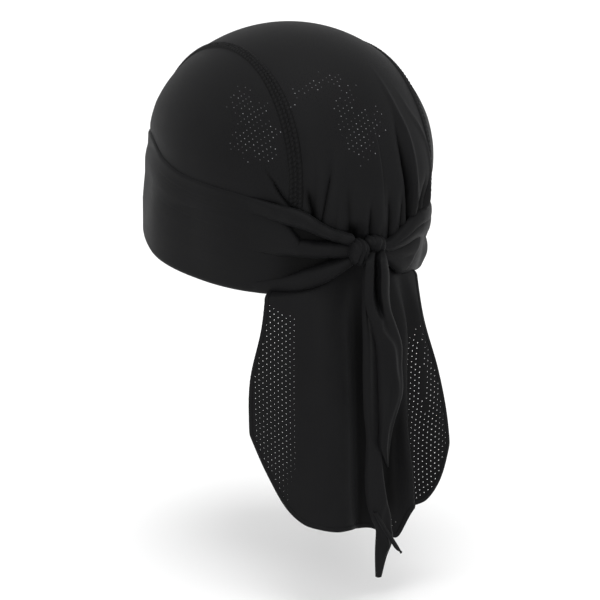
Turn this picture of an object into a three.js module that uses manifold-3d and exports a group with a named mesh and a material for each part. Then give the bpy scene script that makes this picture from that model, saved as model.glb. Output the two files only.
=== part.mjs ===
// A tie-back skull cap with a neck flap, in black stretch knit, shaped as it is worn.
// Millimetres, +X to the wearer's left, +Y to the back of the head, +Z up.
// The origin is the centre of the head opening, level with the band's lower edge there.
import * as THREE from "three";
import { mergeVertices } from "three/addons/utils/BufferGeometryUtils.js";
import Module from "manifold-3d";

const wasm = await Module();
wasm.setup();

// Cloth
const cloth = 1.2; // one layer of knit
const bandCloth = 1.9; // the band is folded double
const tieCloth = 2.0; // a tie is folded double too
const gap = 0.35; // between pieces that lie on each other

// The head that the cap is stretched over
const headHalfWidth = 76;
const headHalfLength = 96;
const wallHeight = 47; // from the opening's centre up to the foot of the dome
const domeHeight = 77.5;
const crownLean = 4; // how far back the top of the dome sits
const napeTuck = 6; // how far the wall draws in at the nape

// Crown panels
const seamSide = 40; // from the middle to each seam
const seamWidth = 6.4;
const seamThick = 0.7;
const hemInset = 6; // the crown stops this far above the band's lower edge

// Band and ties
const bandDepth = 58; // height of the band at the forehead
const bandLift = 1.2; // how far the band's upper edge stands off the crown
const bandEnd = 32; // degrees from the middle of the back to where each tie starts
const tieFold = 4.2; // height of the three folds of a gathered tie

// Fullness of the crown above the ties
const gatherRise = 4.2;
const gatherReach = 50; // how far up the folds run

// Knot
const knotWidth = 20; // over its two turns
const knotHeight = 17;
const knotDepth = 13;
const knotSide = 10; // how far its middle sits to the wearer's left
const knotLevel = 12; // height of the knot's middle
const knotStand = 8; // from the crown's outside to the knot's middle

// Tails of the ties
const longTail = 178;
const shortTail = 116;
const tailWidth = 16;

// Neck flap
const flapDrop = 148; // from its seam to its lowest point
const flapReach = 62; // how far its left edge stands from the middle
const flapEnd = 43; // degrees from the middle of the back to the left end of its seam

// Each edge of the band and its ties, by degrees from the middle of the back. Heights are shares of
// bandDepth; left and right are the upper edge on the wearer's left and right.
const edges = [
  { turn: 0, lower: 0.02, left: 0.27, right: 0.27 },
  { turn: 6, lower: 0.0, left: 0.28, right: 0.29 },
  { turn: 13, lower: -0.04, left: 0.33, right: 0.35 },
  { turn: 20, lower: -0.08, left: 0.41, right: 0.41 },
  { turn: 27, lower: -0.12, left: 0.53, right: 0.46 },
  { turn: 32, lower: -0.15, left: 0.6, right: 0.49 },
  { turn: 42, lower: -0.17, left: 0.66, right: 0.52 },
  { turn: 54, lower: -0.165, left: 0.72, right: 0.58 },
  { turn: 66, lower: -0.15, left: 0.79, right: 0.69 },
  { turn: 78, lower: -0.105, left: 0.87, right: 0.82 },
  { turn: 92, lower: -0.045, left: 0.99, right: 0.97 },
  { turn: 110, lower: 0.07, left: 1.1, right: 1.09 },
  { turn: 128, lower: 0.145, left: 1.09, right: 1.09 },
  { turn: 155, lower: 0.185, left: 1.07, right: 1.07 },
  { turn: 180, lower: 0.2, left: 1.07, right: 1.07 },
];

// Valleys between the gathers of the crown. side and drift are shares of seamSide, at the ties and
// at the top of the fold; top is a share of gatherReach, deep of gatherRise and wide of seamSide.
const valleys = [
  { side: 0.72, drift: 0.84, top: 0.35, deep: 0.9, wide: 0.1 },
  { side: 0.42, drift: 0.56, top: 0.95, deep: 0.75, wide: 0.1 },
  { side: 0.12, drift: 0.22, top: 0.4, deep: 0.9, wide: 0.09 },
  { side: -0.1, drift: -0.03, top: 0.3, deep: 0.8, wide: 0.07 },
  { side: -0.27, drift: -0.29, top: 0.6, deep: 0.85, wide: 0.08 },
  { side: -0.42, drift: -0.52, top: 1.1, deep: 1.15, wide: 0.09 },
  { side: -0.66, drift: -0.8, top: 0.9, deep: 0.9, wide: 0.09 },
];

// The flap, from the wearer's left edge to the right. turn is where its seam holds it, in shares of
// flapEnd; side is a share of flapReach and back a share of headHalfLength, halfway down and at the hem.
const drape = [
  { across: 0.0, turn: 1.0, midSide: 0.99, midBack: 0.68, hemSide: 0.88, hemBack: 0.68 },
  { across: 0.11, turn: 0.8, midSide: 0.85, midBack: 0.82, hemSide: 0.77, hemBack: 0.85 },
  { across: 0.26, turn: 0.55, midSide: 0.6, midBack: 0.97, hemSide: 0.56, hemBack: 1.01 },
  { across: 0.4, turn: 0.3, midSide: 0.35, midBack: 1.03, hemSide: 0.35, hemBack: 1.07 },
  { across: 0.5, turn: 0.13, midSide: 0.14, midBack: 0.99, hemSide: 0.12, hemBack: 1.02 },
  { across: 0.58, turn: 0.0, midSide: -0.03, midBack: 1.03, hemSide: -0.03, hemBack: 1.07 },
  { across: 0.66, turn: -0.12, midSide: -0.2, midBack: 1.05, hemSide: -0.2, hemBack: 1.1 },
  { across: 0.75, turn: -0.24, midSide: -0.34, midBack: 0.97, hemSide: -0.37, hemBack: 1.01 },
  { across: 0.83, turn: -0.36, midSide: -0.45, midBack: 0.92, hemSide: -0.48, hemBack: 0.95 },
  { across: 0.89, turn: -0.45, midSide: -0.56, midBack: 0.95, hemSide: -0.59, hemBack: 0.98 },
  { across: 0.94, turn: -0.53, midSide: -0.68, midBack: 0.94, hemSide: -0.73, hemBack: 0.96 },
  { across: 1.0, turn: -0.6, midSide: -0.82, midBack: 0.92, hemSide: -0.9, hemBack: 0.94 },
];
const hemSquare = 0.6; // share of the drop where the straight sides turn into the round hem
const hemRound = 2;

// The tails, from the knot down. left, right and back place their edges from the knot's middle, and
// fold is how far the middle of the strip stands out; all are shares of tailWidth.
const longRun = [
  { at: 0.0, left: 0.42, right: 0.06, back: 0.0, fold: 0.16 },
  { at: 0.1, left: 0.36, right: -0.02, back: 0.3, fold: 0.16 },
  { at: 0.3, left: 0.34, right: -0.16, back: 0.34, fold: 0.14 },
  { at: 0.5, left: 0.32, right: -0.22, back: 0.36, fold: 0.14 },
  { at: 0.6, left: 0.28, right: -0.28, back: 0.4, fold: 0.14 },
  { at: 0.7, left: -0.06, right: -0.46, back: 0.5, fold: 0.12 },
  { at: 0.82, left: -0.16, right: -0.64, back: 0.54, fold: 0.12 },
  { at: 0.9, left: -0.18, right: -1.0, back: 0.54, fold: 0.1 },
  { at: 0.94, left: -0.19, right: -0.52, back: 0.54, fold: 0.08 },
  { at: 1.0, left: -0.14, right: -0.36, back: 0.52, fold: 0.05 },
];
const shortRun = [
  { at: 0.0, left: -0.06, right: -0.44, back: 0.05, fold: 0.2 },
  { at: 0.09, left: -0.02, right: -0.42, back: 0.5, fold: 0.24 },
  { at: 0.22, left: 0.1, right: -0.42, back: 0.66, fold: 0.22 },
  { at: 0.36, left: 0.12, right: -0.8, back: 0.68, fold: 0.18 },
  { at: 0.5, left: 0.0, right: -0.94, back: 0.7, fold: 0.16 },
  { at: 0.65, left: -0.02, right: -1.06, back: 0.72, fold: 0.15 },
  { at: 0.75, left: -0.04, right: -0.94, back: 0.72, fold: 0.14 },
  { at: 0.86, left: -0.08, right: -0.62, back: 0.72, fold: 0.1 },
  { at: 1.0, left: -0.44, right: -0.52, back: 0.7, fold: 0.03 },
];

const radians = THREE.MathUtils.degToRad;
const lerp = THREE.MathUtils.lerp;
const soft = (x) => THREE.MathUtils.smoothstep(x, 0, 1);

// A table's column read smoothly between its rows, which are sorted by the key.
function read(table, key, column, at) {
  const last = table.length - 1;
  let i = 0;
  while (i < last - 1 && table[i + 1][key] < at) i++;
  const slope = (k) => {
    const a = table[Math.max(k - 1, 0)];
    const b = table[Math.min(k + 1, last)];
    return (b[column] - a[column]) / (b[key] - a[key]);
  };
  const [a, b] = [table[i], table[i + 1]];
  const span = b[key] - a[key];
  const s = THREE.MathUtils.clamp((at - a[key]) / span, 0, 1);
  const h = s * s * (3 - 2 * s);
  const start = span * slope(i) * s * (1 - s) * (1 - s);
  const end = span * slope(i + 1) * s * s * (s - 1);
  return lerp(a[column], b[column], h) + start + end;
}

// A closed wall between an outer and an inner grid. pointAt(u, v, side) gives a point, with side 1
// outside and 0 inside.
function wall(columns, rows, pointAt) {
  const positions = [];
  const index = [];
  const perSide = (columns + 1) * (rows + 1);
  for (const side of [1, 0])
    for (let j = 0; j <= rows; j++)
      for (let i = 0; i <= columns; i++) positions.push(...pointAt(i / columns, j / rows, side));
  const at = (i, j, side) => (side ? 0 : perSide) + j * (columns + 1) + i;
  const quad = (a, b, c, d) => index.push(a, b, c, a, c, d);
  for (let j = 0; j < rows; j++)
    for (let i = 0; i < columns; i++) {
      quad(at(i, j, 1), at(i + 1, j, 1), at(i + 1, j + 1, 1), at(i, j + 1, 1));
      quad(at(i, j, 0), at(i, j + 1, 0), at(i + 1, j + 1, 0), at(i + 1, j, 0));
    }
  for (let i = 0; i < columns; i++) {
    quad(at(i, 0, 0), at(i + 1, 0, 0), at(i + 1, 0, 1), at(i, 0, 1));
    quad(at(i, rows, 1), at(i + 1, rows, 1), at(i + 1, rows, 0), at(i, rows, 0));
  }
  for (let j = 0; j < rows; j++) {
    quad(at(0, j, 1), at(0, j + 1, 1), at(0, j + 1, 0), at(0, j, 0));
    quad(at(columns, j, 0), at(columns, j + 1, 0), at(columns, j + 1, 1), at(columns, j, 1));
  }
  return facingOut(positions, index);
}

// A geometry whose faces point outwards, whichever way round they were listed.
function facingOut(positions, index) {
  const p = (i) => new THREE.Vector3().fromArray(positions, 3 * i);
  let volume = 0;
  for (let i = 0; i < index.length; i += 3)
    volume += p(index[i]).dot(p(index[i + 1]).cross(p(index[i + 2])));
  if (volume < 0) index.reverse();
  const geometry = new THREE.BufferGeometry();
  geometry.setAttribute("position", new THREE.Float32BufferAttribute(positions, 3));
  return geometry.setIndex(index);
}

function toSolid(geometry) {
  const bare = geometry.clone();
  bare.deleteAttribute("normal");
  bare.deleteAttribute("uv");
  const merged = mergeVertices(bare, 1e-4);
  const vertProperties = merged.attributes.position.array;
  const triVerts = new Uint32Array(merged.index.array);
  return new wasm.Manifold(new wasm.Mesh({ numProp: 3, vertProperties, triVerts }));
}

function toGeometry(solid) {
  const mesh = solid.getMesh();
  const geometry = new THREE.BufferGeometry();
  geometry.setAttribute("position", new THREE.BufferAttribute(mesh.vertProperties, 3));
  return geometry.setIndex(new THREE.BufferAttribute(mesh.triVerts, 1));
}

// The height of the band's or a tie's lower or upper edge at a turn from the middle of the back.
function edgeHeight(turn, column) {
  const degrees = THREE.MathUtils.radToDeg(Math.atan2(Math.sin(turn), Math.cos(turn)));
  const sided = column === "upper" ? (degrees < 0 ? "right" : "left") : column;
  return bandDepth * read(edges, "turn", sided, Math.abs(degrees));
}

// A point off the head: an upright oval wall below, drawn in at the nape, and half an ellipsoid above.
function onHead(turn, height, off) {
  const up = THREE.MathUtils.clamp((height - wallHeight) / domeHeight, 0, 1);
  const level = Math.sqrt(1 - up * up);
  const low = THREE.MathUtils.clamp((wallHeight - height) / wallHeight, 0, 1.6);
  const tuck = napeTuck * low * low * soft((Math.cos(turn) + 0.35) / 0.95);
  const across = (headHalfWidth + off) * level - tuck;
  const along = (headHalfLength + off) * level - tuck;
  const back = along * Math.cos(turn) + crownLean * up * up;
  return new THREE.Vector3(across * Math.sin(turn), back, height + off * up);
}

// The turn at which the wall stands a given distance to the side, at a height.
function turnAtSide(side, height) {
  if (Math.abs(side) < 1e-9) return 0;
  let turn = Math.asin(THREE.MathUtils.clamp(side / headHalfWidth, -1, 1));
  for (let i = 0; i < 6; i++) {
    const reach = onHead(turn, height, 0).x / Math.sin(turn);
    turn = Math.asin(THREE.MathUtils.clamp(side / reach, -1, 1));
  }
  return turn;
}

// How far the gathered cloth stands off the head above the ties.
function gather(turn, height) {
  if (Math.cos(turn) < 0) return 0;
  const above = height - edgeHeight(turn, "upper");
  const side = onHead(turn, height, 0).x / seamSide;
  const full = soft((above - 5) / 9) * soft((gatherReach * 1.15 - above) / gatherReach);
  const middle = soft((1 - Math.abs(side)) / 0.22);
  let valley = 0;
  for (const fold of valleys) {
    const run = THREE.MathUtils.clamp(above / (fold.top * gatherReach), 0, 1);
    const away = (side - lerp(fold.side, fold.drift, run)) / fold.wide;
    valley = Math.max(valley, fold.deep * Math.exp(-away * away) * (1 - soft(run)));
  }
  return gatherRise * full * middle * (1 - Math.min(valley, 1));
}

function onCrown(turn, height, side) {
  return onHead(turn, height, side * cloth + gather(turn, height));
}

const crownHem = (turn) => edgeHeight(turn, "lower") + hemInset;

// The middle panel, from the forehead over the top to the nape.
function crownCentre() {
  const [frontRows, domeRows, backRows] = [3, 14, 10];
  const rows = frontRows + domeRows + backRows;
  const half = seamSide - gap / 2;
  return wall(22, rows, (u, v, side) => {
    const across = (2 * u - 1) * half;
    const row = Math.round(v * rows);
    if (row <= frontRows || row >= rows - backRows) {
      const front = row <= frontRows;
      const climb = front ? row / frontRows : (rows - row) / backRows;
      const foot = turnAtSide(across, 0);
      const height = lerp(crownHem(front ? Math.PI - foot : foot), wallHeight, climb);
      const turn = turnAtSide(across, height);
      return onCrown(front ? Math.PI - turn : turn, height, side);
    }
    const sweep = (Math.PI * (row - frontRows)) / domeRows;
    const wide = across / headHalfWidth;
    const reach = Math.sqrt(1 - wide * wide);
    const turn = Math.atan2(wide, -reach * Math.cos(sweep));
    return onCrown(turn, wallHeight + domeHeight * reach * Math.sin(sweep), side);
  });
}

// A side panel, in level rows that shorten up to the top of its seam.
function crownSide(hand) {
  const [wallRows, domeRows] = [4, 9];
  const rows = wallRows + domeRows;
  const edge = seamSide + gap / 2;
  const top = domeHeight * Math.sqrt(1 - (edge / headHalfWidth) ** 2) - 0.02;
  return wall(22, rows, (u, v, side) => {
    const row = Math.round(v * rows);
    const rise = (row - wallRows) / domeRows;
    const dome = wallHeight + top * Math.sin(Math.max(rise, 0) * (Math.PI / 2));
    const level = row > wallRows ? dome : wallHeight;
    const start = turnAtSide(edge, level);
    const turn = lerp(start, Math.PI - start, u);
    if (row > wallRows) return onCrown(hand * turn, dome, side);
    const foot = turnAtSide(edge, 0);
    const low = crownHem(lerp(foot, Math.PI - foot, u));
    const height = lerp(low, wallHeight, row / wallRows);
    const first = turnAtSide(edge, height);
    return onCrown(hand * lerp(first, Math.PI - first, u), height, side);
  });
}

// The stitched seam that lies over the joint of two crown panels.
function seam(hand) {
  const rows = 26;
  const startHeight = edgeHeight(Math.PI - turnAtSide(seamSide, wallHeight), "upper") + 2;
  const endHeight = edgeHeight(turnAtSide(seamSide, wallHeight), "upper") + 2;
  return wall(2, rows, (u, v, side) => {
    const across = seamSide + (u - 0.5) * seamWidth;
    const wide = across / headHalfWidth;
    const reach = Math.sqrt(1 - wide * wide);
    const first = Math.asin(Math.max(startHeight - wallHeight, 0) / (domeHeight * reach));
    const off = cloth + 1.5 * gap + side * seamThick;
    const domeShare = 0.9;
    if (v <= domeShare) {
      const sweep = lerp(first, Math.PI, v / domeShare);
      const turn = Math.atan2(wide, -reach * Math.cos(sweep));
      const height = wallHeight + domeHeight * reach * Math.sin(sweep);
      return onHead(hand * turn, height, off + gather(hand * turn, height));
    }
    const height = lerp(wallHeight, endHeight, (v - domeShare) / (1 - domeShare));
    const turn = hand * turnAtSide(across, height);
    return onHead(turn, height, off + gather(turn, height));
  });
}

// The band, from one end at the back round the forehead to the other.
function headband() {
  const end = radians(bandEnd);
  return wall(52, 4, (u, v, side) => {
    const turn = lerp(end, 2 * Math.PI - end, u);
    const height = lerp(edgeHeight(turn, "lower"), edgeHeight(turn, "upper"), v);
    const lift = bandLift * v * v * v * soft((Math.abs(turn - Math.PI) - 2.6) / -1.2);
    return onHead(turn, height, cloth + gap + side * bandCloth + lift);
  });
}

// A tie from the band's end to the knot, gathered into three folds.
function tieSheet(hand) {
  const start = radians(bandEnd) - gap / headHalfLength;
  const end = turnAtSide(0.3 * knotWidth + hand * knotSide, knotLevel);
  return wall(10, 14, (u, v, side) => {
    const turn = lerp(start, end, u);
    const height = lerp(edgeHeight(turn, "lower"), edgeHeight(turn, "upper"), v);
    const ridge = (1 - Math.cos(2 * Math.PI * 3 * v)) / 2;
    const lift = tieFold * ridge * soft(u / 0.55) + (knotStand - bandCloth) * 0.35 * u * u;
    return onHead(hand * turn, height, cloth + gap + lift + side * tieCloth);
  });
}

// The knot: a wrap round the left tie, with the turn of the right tie beside it.
const napePoint = onHead(turnAtSide(knotSide, knotLevel), knotLevel, cloth);
const knotCentre = new THREE.Vector3(knotSide, napePoint.y + knotStand, knotLevel);

function knotSolid(grow) {
  const lump = (wide, high, deep, x, z) => {
    const ball = new THREE.SphereGeometry(1, 14, 10);
    const half = [wide * knotWidth, deep * knotDepth, high * knotHeight].map((d) => d / 2 + grow);
    ball.scale(...half);
    ball.translate(knotCentre.x + x * knotWidth, knotCentre.y, knotCentre.z + z * knotHeight);
    return toSolid(ball);
  };
  return lump(0.56, 1, 1, 0.22, 0).add(lump(0.58, 0.72, 0.85, -0.21, 0.08));
}

// A hanging tail: a strip folded lengthwise, narrower and wider as its table says.
function tailSheet(run, length) {
  const rows = 2 * (run.length - 1);
  return wall(4, rows, (u, v, side) => {
    const value = (column) => tailWidth * read(run, "at", column, v);
    const x = lerp(value("left"), value("right"), u);
    const y = value("back") + value("fold") * (1 - Math.abs(2 * u - 1)) + (side - 0.5) * tieCloth;
    return new THREE.Vector3(knotCentre.x + x, knotCentre.y + y, knotCentre.z - v * length);
  });
}

// A point of the flap. across runs from 0 at the wearer's left edge to 1, and down from 0 at its seam
// to 1 at its lowest level.
function onFlap(across, down) {
  const turn = radians(flapEnd * read(drape, "across", "turn", across));
  const seamHeight = crownHem(turn) - 2 * gap;
  const top = onHead(turn, seamHeight, cloth);
  const [midSide, midBack, hemSide, hemBack] = ["midSide", "midBack", "hemSide", "hemBack"].map(
    (column) => read(drape, "across", column, across),
  );
  const blend = (a, b, c) =>
    a * (1 - down) * (1 - 2 * down) + b * 4 * down * (1 - down) + c * down * (2 * down - 1);
  const x = blend(top.x, midSide * flapReach, hemSide * flapReach);
  const y = blend(top.y, midBack * headHalfLength, hemBack * headHalfLength);
  // Inside the band the flap stays on the head, and it leaves it below the lower edge.
  const held = soft(1 - (down * flapDrop - hemInset) / (2.5 * hemInset));
  const height = seamHeight - down * flapDrop;
  const wallPoint = onHead(turn, Math.max(height, seamHeight - 2 * hemInset), cloth);
  return new THREE.Vector3(lerp(x, wallPoint.x, held), lerp(y, wallPoint.y, held), height);
}

function neckFlap() {
  const step = 1e-3;
  const rows = 13;
  const covered = (hemInset + cloth) / flapDrop;
  return wall(28, rows, (u, v, side) => {
    const round = (1 - Math.abs(2 * u - 1) ** hemRound) ** (1 / hemRound);
    const full = lerp(hemSquare, 1, round);
    const row = Math.round(v * rows);
    const down = row < 2 ? row * covered : lerp(covered, full, (row - 1) / (rows - 1));
    const p = onFlap(u, down);
    const alongU = onFlap(Math.min(u + step, 1), down).sub(onFlap(Math.max(u - step, 0), down));
    const alongV = onFlap(u, down + step).sub(onFlap(u, Math.max(down - step, 0)));
    const inward = alongU.cross(alongV).normalize();
    if (inward.y > 0) inward.negate();
    return p.addScaledVector(inward, (1 - side) * cloth);
  });
}

const knit = new THREE.MeshStandardMaterial({ color: 0x242426, roughness: 0.75, metalness: 0 });
const stitched = new THREE.MeshStandardMaterial({ color: 0x1c1c1e, roughness: 0.85, metalness: 0 });

const cap = new THREE.Group();

function addPiece(name, geometry, material = knit) {
  const mesh = new THREE.Mesh(geometry, material);
  mesh.name = name;
  cap.add(mesh);
}

const knotRoom = knotSolid(gap);
const clearOfKnot = (geometry) => toGeometry(toSolid(geometry).subtract(knotRoom));

addPiece("crown_centre_panel", crownCentre());
for (const [side, hand] of [
  ["left", 1],
  ["right", -1],
]) {
  addPiece(`crown_${side}_panel`, crownSide(hand));
  addPiece(`crown_${side}_seam`, seam(hand), stitched);
  addPiece(`${side}_tie`, clearOfKnot(tieSheet(hand)));
}
addPiece("headband", headband());
addPiece("knot", toGeometry(knotSolid(0)));
addPiece("long_tail", clearOfKnot(tailSheet(longRun, longTail)));
addPiece("short_tail", clearOfKnot(tailSheet(shortRun, shortTail)));
addPiece("neck_flap", neckFlap());

export default cap;
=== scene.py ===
import bmesh
import bpy
import numpy as np
from mathutils import Matrix, Vector


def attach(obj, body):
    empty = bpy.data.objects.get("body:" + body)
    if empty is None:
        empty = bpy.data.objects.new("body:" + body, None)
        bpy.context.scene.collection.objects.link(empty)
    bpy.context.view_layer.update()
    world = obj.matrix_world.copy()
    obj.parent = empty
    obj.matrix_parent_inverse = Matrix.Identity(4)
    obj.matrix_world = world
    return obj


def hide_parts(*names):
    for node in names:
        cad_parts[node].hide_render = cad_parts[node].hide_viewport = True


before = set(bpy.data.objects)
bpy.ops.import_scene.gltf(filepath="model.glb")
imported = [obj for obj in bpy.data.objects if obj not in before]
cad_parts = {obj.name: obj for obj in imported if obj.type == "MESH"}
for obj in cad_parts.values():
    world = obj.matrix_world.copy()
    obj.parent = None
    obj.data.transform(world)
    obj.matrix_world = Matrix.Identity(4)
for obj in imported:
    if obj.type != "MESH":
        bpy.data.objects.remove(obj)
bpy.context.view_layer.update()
print("frame loaded")

mm = 0.001  # lengths are in millimetres until a mesh is made, unless a note says metres

# the head that the cap is stretched over
head = {
    "halfWidth": 76.0, "halfLength": 96.0, "wall": 47.0, "dome": 77.5, "lean": 4.0, "tuck": 6.0,
    # how far the cap is drawn in at each height: over the brow, and behind the ears
    "brow": [(-12, 1.0), (5, 2.0), (25, 2.6), (40, 4.2), (56, 4.4), (68, 1.4), (80, 0.2), (90, 0)],
    "ears": [(-12, 2.2), (5, 2.8), (18, 3.6), (30, 4.6), (38, 3.2), (47, 1.8), (60, 0.8), (75, 0)],
    # the turns from the middle of the back, in degrees, where each starts or ends, and how softly
    "browFrom": 78, "browSoft": 36, "earsFrom": 20, "earsTo": 100, "earsSoft": 26,
}


# 0 below 0, 1 above 1, and a smooth rise between them
def smooth(x):
    x = np.clip(x, 0, 1)
    return x * x * (3 - 2 * x)


# a bell that is 1 in its middle and falls off over its width
def bell(x, width):
    return np.exp(-((x / width) ** 2))


# a table of (key, value) rows read at a place, straight between its rows
def readTable(rows, at):
    keys, values = np.array(rows, float).T
    return np.interp(at, keys, values)


# a cubic through a table's rows, with each slope taken from the rows on both sides
def through(keys, values, at):
    keys, values, at = np.asarray(keys, float), np.asarray(values, float), np.asarray(at, float)
    slopes = np.gradient(values, keys, axis=0)
    i = np.clip(np.searchsorted(keys, at, side="right") - 1, 0, len(keys) - 2)
    span = keys[i + 1] - keys[i]
    s = np.clip((at - keys[i]) / span, 0, 1)
    if values.ndim > 1:
        s, span = s[..., None], span[..., None]
    start = (1 + 2 * s) * (1 - s) ** 2 * values[i] + span * s * (1 - s) ** 2 * slopes[i]
    end = s * s * (3 - 2 * s) * values[i + 1] - span * s * s * (1 - s) * slopes[i + 1]
    return start + end


# a turn in degrees from the middle of the back, the wearer's left positive
def signedDegrees(turn):
    return np.degrees(np.arctan2(np.sin(turn), np.cos(turn)))


# the turn of points round the head, whose middle may lean back
def turnOf(points, lean=0.0):
    return np.arctan2(points[..., 0] / head["halfWidth"], (points[..., 1] - lean) / head["halfLength"])


# how far the cap is drawn in: two tables over height, each faded in over the turn
def drawnIn(turn, height):
    away = np.abs(signedDegrees(turn))
    brow = readTable(head["brow"], height) * smooth((away - head["browFrom"]) / head["browSoft"])
    ears = readTable(head["ears"], height) * smooth((away - head["earsFrom"]) / head["earsSoft"])
    return brow + ears * smooth((head["earsTo"] - away) / head["earsSoft"])


# the tuck at the nape: it grows with the square of the depth below the dome, and fades out past the ears
def napeTuck(turn, height):
    low = np.clip((head["wall"] - height) / head["wall"], 0, 1.6)
    return head["tuck"] * low**2 * smooth((np.cos(turn) + 0.35) / 0.95)


# off the head: an upright oval wall, drawn in at the nape, under half an ellipsoid that leans back
def onHead(turn, height, off):
    up = np.clip((height - head["wall"]) / head["dome"], 0, 1)
    level = np.sqrt(1 - up**2)
    tuck = napeTuck(turn, height) + drawnIn(turn, height)
    x = ((head["halfWidth"] + off) * level - tuck) * np.sin(turn)
    y = ((head["halfLength"] + off) * level - tuck) * np.cos(turn) + head["lean"] * up**2
    return np.stack(np.broadcast_arrays(x, y, height + off * up), -1)


# the turn at which the wall stands a given distance to the side, found by closing in on it
def turnAtSide(side, height):
    turn = np.arcsin(np.clip(side / head["halfWidth"], -1, 1))
    for _ in range(6):
        reach = head["halfWidth"] - napeTuck(turn, height)
        turn = np.arcsin(np.clip(side / reach, -1, 1))
    return turn


# a grid's outward normals, from the cross product of its two directions
def gridNormals(points):
    across = np.gradient(points, axis=1)
    down = np.gradient(points, axis=0)
    n = np.cross(across, down)
    return n / np.maximum(np.linalg.norm(n, axis=-1, keepdims=True), 1e-9)


# the quads of a grid with rows x columns points
def gridQuads(rows, columns):
    a = np.arange(rows * columns).reshape(rows, columns)
    return np.stack([a[:-1, :-1], a[:-1, 1:], a[1:, 1:], a[1:, :-1]], -1).reshape(-1, 4)


# lengths added up from point to point along one axis of an array of points, from 0
def runAlong(points, axis=0):
    steps = np.linalg.norm(np.diff(points, axis=axis), axis=-1)
    start = np.zeros_like(np.take(steps, [0], axis))
    return np.concatenate([start, np.cumsum(steps, axis)], axis)


# lengths along a grid's rows and columns, in millimetres, as a map of the cloth
def gridMap(points, anchorColumn=0, anchorRow=0):
    u, v = runAlong(points, 1), runAlong(points, 0)
    return np.stack([u - u[:, anchorColumn : anchorColumn + 1], v - v[anchorRow : anchorRow + 1]], -1)


# whether quads face along the normals at their corners, taken all together
def facesOut(quads, points, normals):
    corner = points[quads[:, :3]]
    facing = np.cross(corner[:, 1] - corner[:, 0], corner[:, 2] - corner[:, 0])
    return (facing * normals[quads[:, 0]]).sum() > 0


# a mesh from arrays, smooth, with its map and any values at its points
def makeMesh(name, points, faces, material, clothMap=None, values=None):
    mesh = bpy.data.meshes.new(name)
    mesh.from_pydata((points * mm).tolist(), [], [f.tolist() for group in faces for f in group])
    mesh.validate()
    if clothMap is not None:
        layer = mesh.uv_layers.new(name="clothMap")
        loops = np.empty(len(mesh.loops), int)
        mesh.loops.foreach_get("vertex_index", loops)
        layer.data.foreach_set("uv", np.ascontiguousarray(clothMap[loops], dtype=np.float32).ravel())
    for key, value in (values or {}).items():
        attribute = mesh.attributes.new(key, "FLOAT", "POINT")
        attribute.data.foreach_set("value", np.ascontiguousarray(value, dtype=np.float32))
    mesh.polygons.foreach_set("use_smooth", np.ones(len(mesh.polygons), bool))
    mesh.materials.append(material)
    obj = bpy.data.objects.new(name, mesh)
    bpy.context.scene.collection.objects.link(obj)
    return obj


# cloth of a thickness: the outer face, the same face moved in along its normals,
# and a wall round every free edge, which is one that a single face uses
def makeCloth(name, points, normals, faces, thickness, material, clothMap, values):
    count = len(points)
    inner = points - normals * np.reshape(thickness, (-1, 1))
    edges = np.concatenate([np.stack([f, np.roll(f, -1, 1)], -1).reshape(-1, 2) for f in faces])
    key = np.sort(edges, 1) @ np.array([count, 1])
    _, first, times = np.unique(key, return_index=True, return_counts=True)
    free = edges[first[times == 1]]
    walls = np.stack([free[:, 1], free[:, 0], free[:, 0] + count, free[:, 1] + count], -1)
    allFaces = list(faces) + [f[:, ::-1] + count for f in faces] + [walls]
    doubled = {key: np.concatenate([value, value]) for key, value in values.items()}
    bothSides = np.concatenate([points, inner])
    return makeMesh(name, bothSides, allFaces, material, np.concatenate([clothMap, clothMap]), doubled)


# cloth whose outer face is a grid of points
def gridCloth(name, points, thickness, material, clothMap=None, values=None):
    rows, columns = points.shape[:2]
    flatMap = (gridMap(points) if clothMap is None else clothMap).reshape(-1, 2)
    flatValues = {key: value.reshape(-1) for key, value in (values or {}).items()}
    normals = gridNormals(points).reshape(-1, 3)
    thick = np.broadcast_to(thickness, (rows, columns)).reshape(-1)
    quads = gridQuads(rows, columns)
    return makeCloth(name, points.reshape(-1, 3), normals, [quads], thick, material, flatMap, flatValues)


# joins doubled points at a closed shape's seam and ends, and turns its faces outwards
def weld(obj):
    work = bmesh.new()
    work.from_mesh(obj.data)
    bmesh.ops.remove_doubles(work, verts=work.verts, dist=0.02 * mm)
    bmesh.ops.recalc_face_normals(work, faces=work.faces)
    work.to_mesh(obj.data)
    work.free()


# a node group from its inputs, as (name, start value), and the names of its outputs; "Map" is a vector
def newGroup(name, inputs, outputs):
    group = bpy.data.node_groups.new(name, "ShaderNodeTree")
    group.interface.new_socket("Map", in_out="INPUT", socket_type="NodeSocketVector")
    for label, value in inputs:
        socket = group.interface.new_socket(label, in_out="INPUT", socket_type="NodeSocketFloat")
        socket.default_value = value
    for label in outputs:
        group.interface.new_socket(label, in_out="OUTPUT", socket_type="NodeSocketFloat")
    return group, group.nodes.new("NodeGroupInput"), group.nodes.new("NodeGroupOutput")


# a math node whose inputs are numbers or other nodes' outputs
def mathNode(tree, operation, a, b=None, c=None):
    node = tree.nodes.new("ShaderNodeMath")
    node.operation = operation
    for socket, value in zip(node.inputs, (a, b, c)):
        if isinstance(value, (int, float)):
            socket.default_value = value
        elif value is not None:
            tree.links.new(value, socket)
    return node.outputs[0]


# noise over the cloth's map
def noiseNode(tree, place, scale, detail):
    node = tree.nodes.new("ShaderNodeTexNoise")
    node.inputs["Scale"].default_value = scale
    node.inputs["Detail"].default_value = detail
    tree.links.new(place, node.inputs["Vector"])
    return node.outputs[0]


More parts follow.
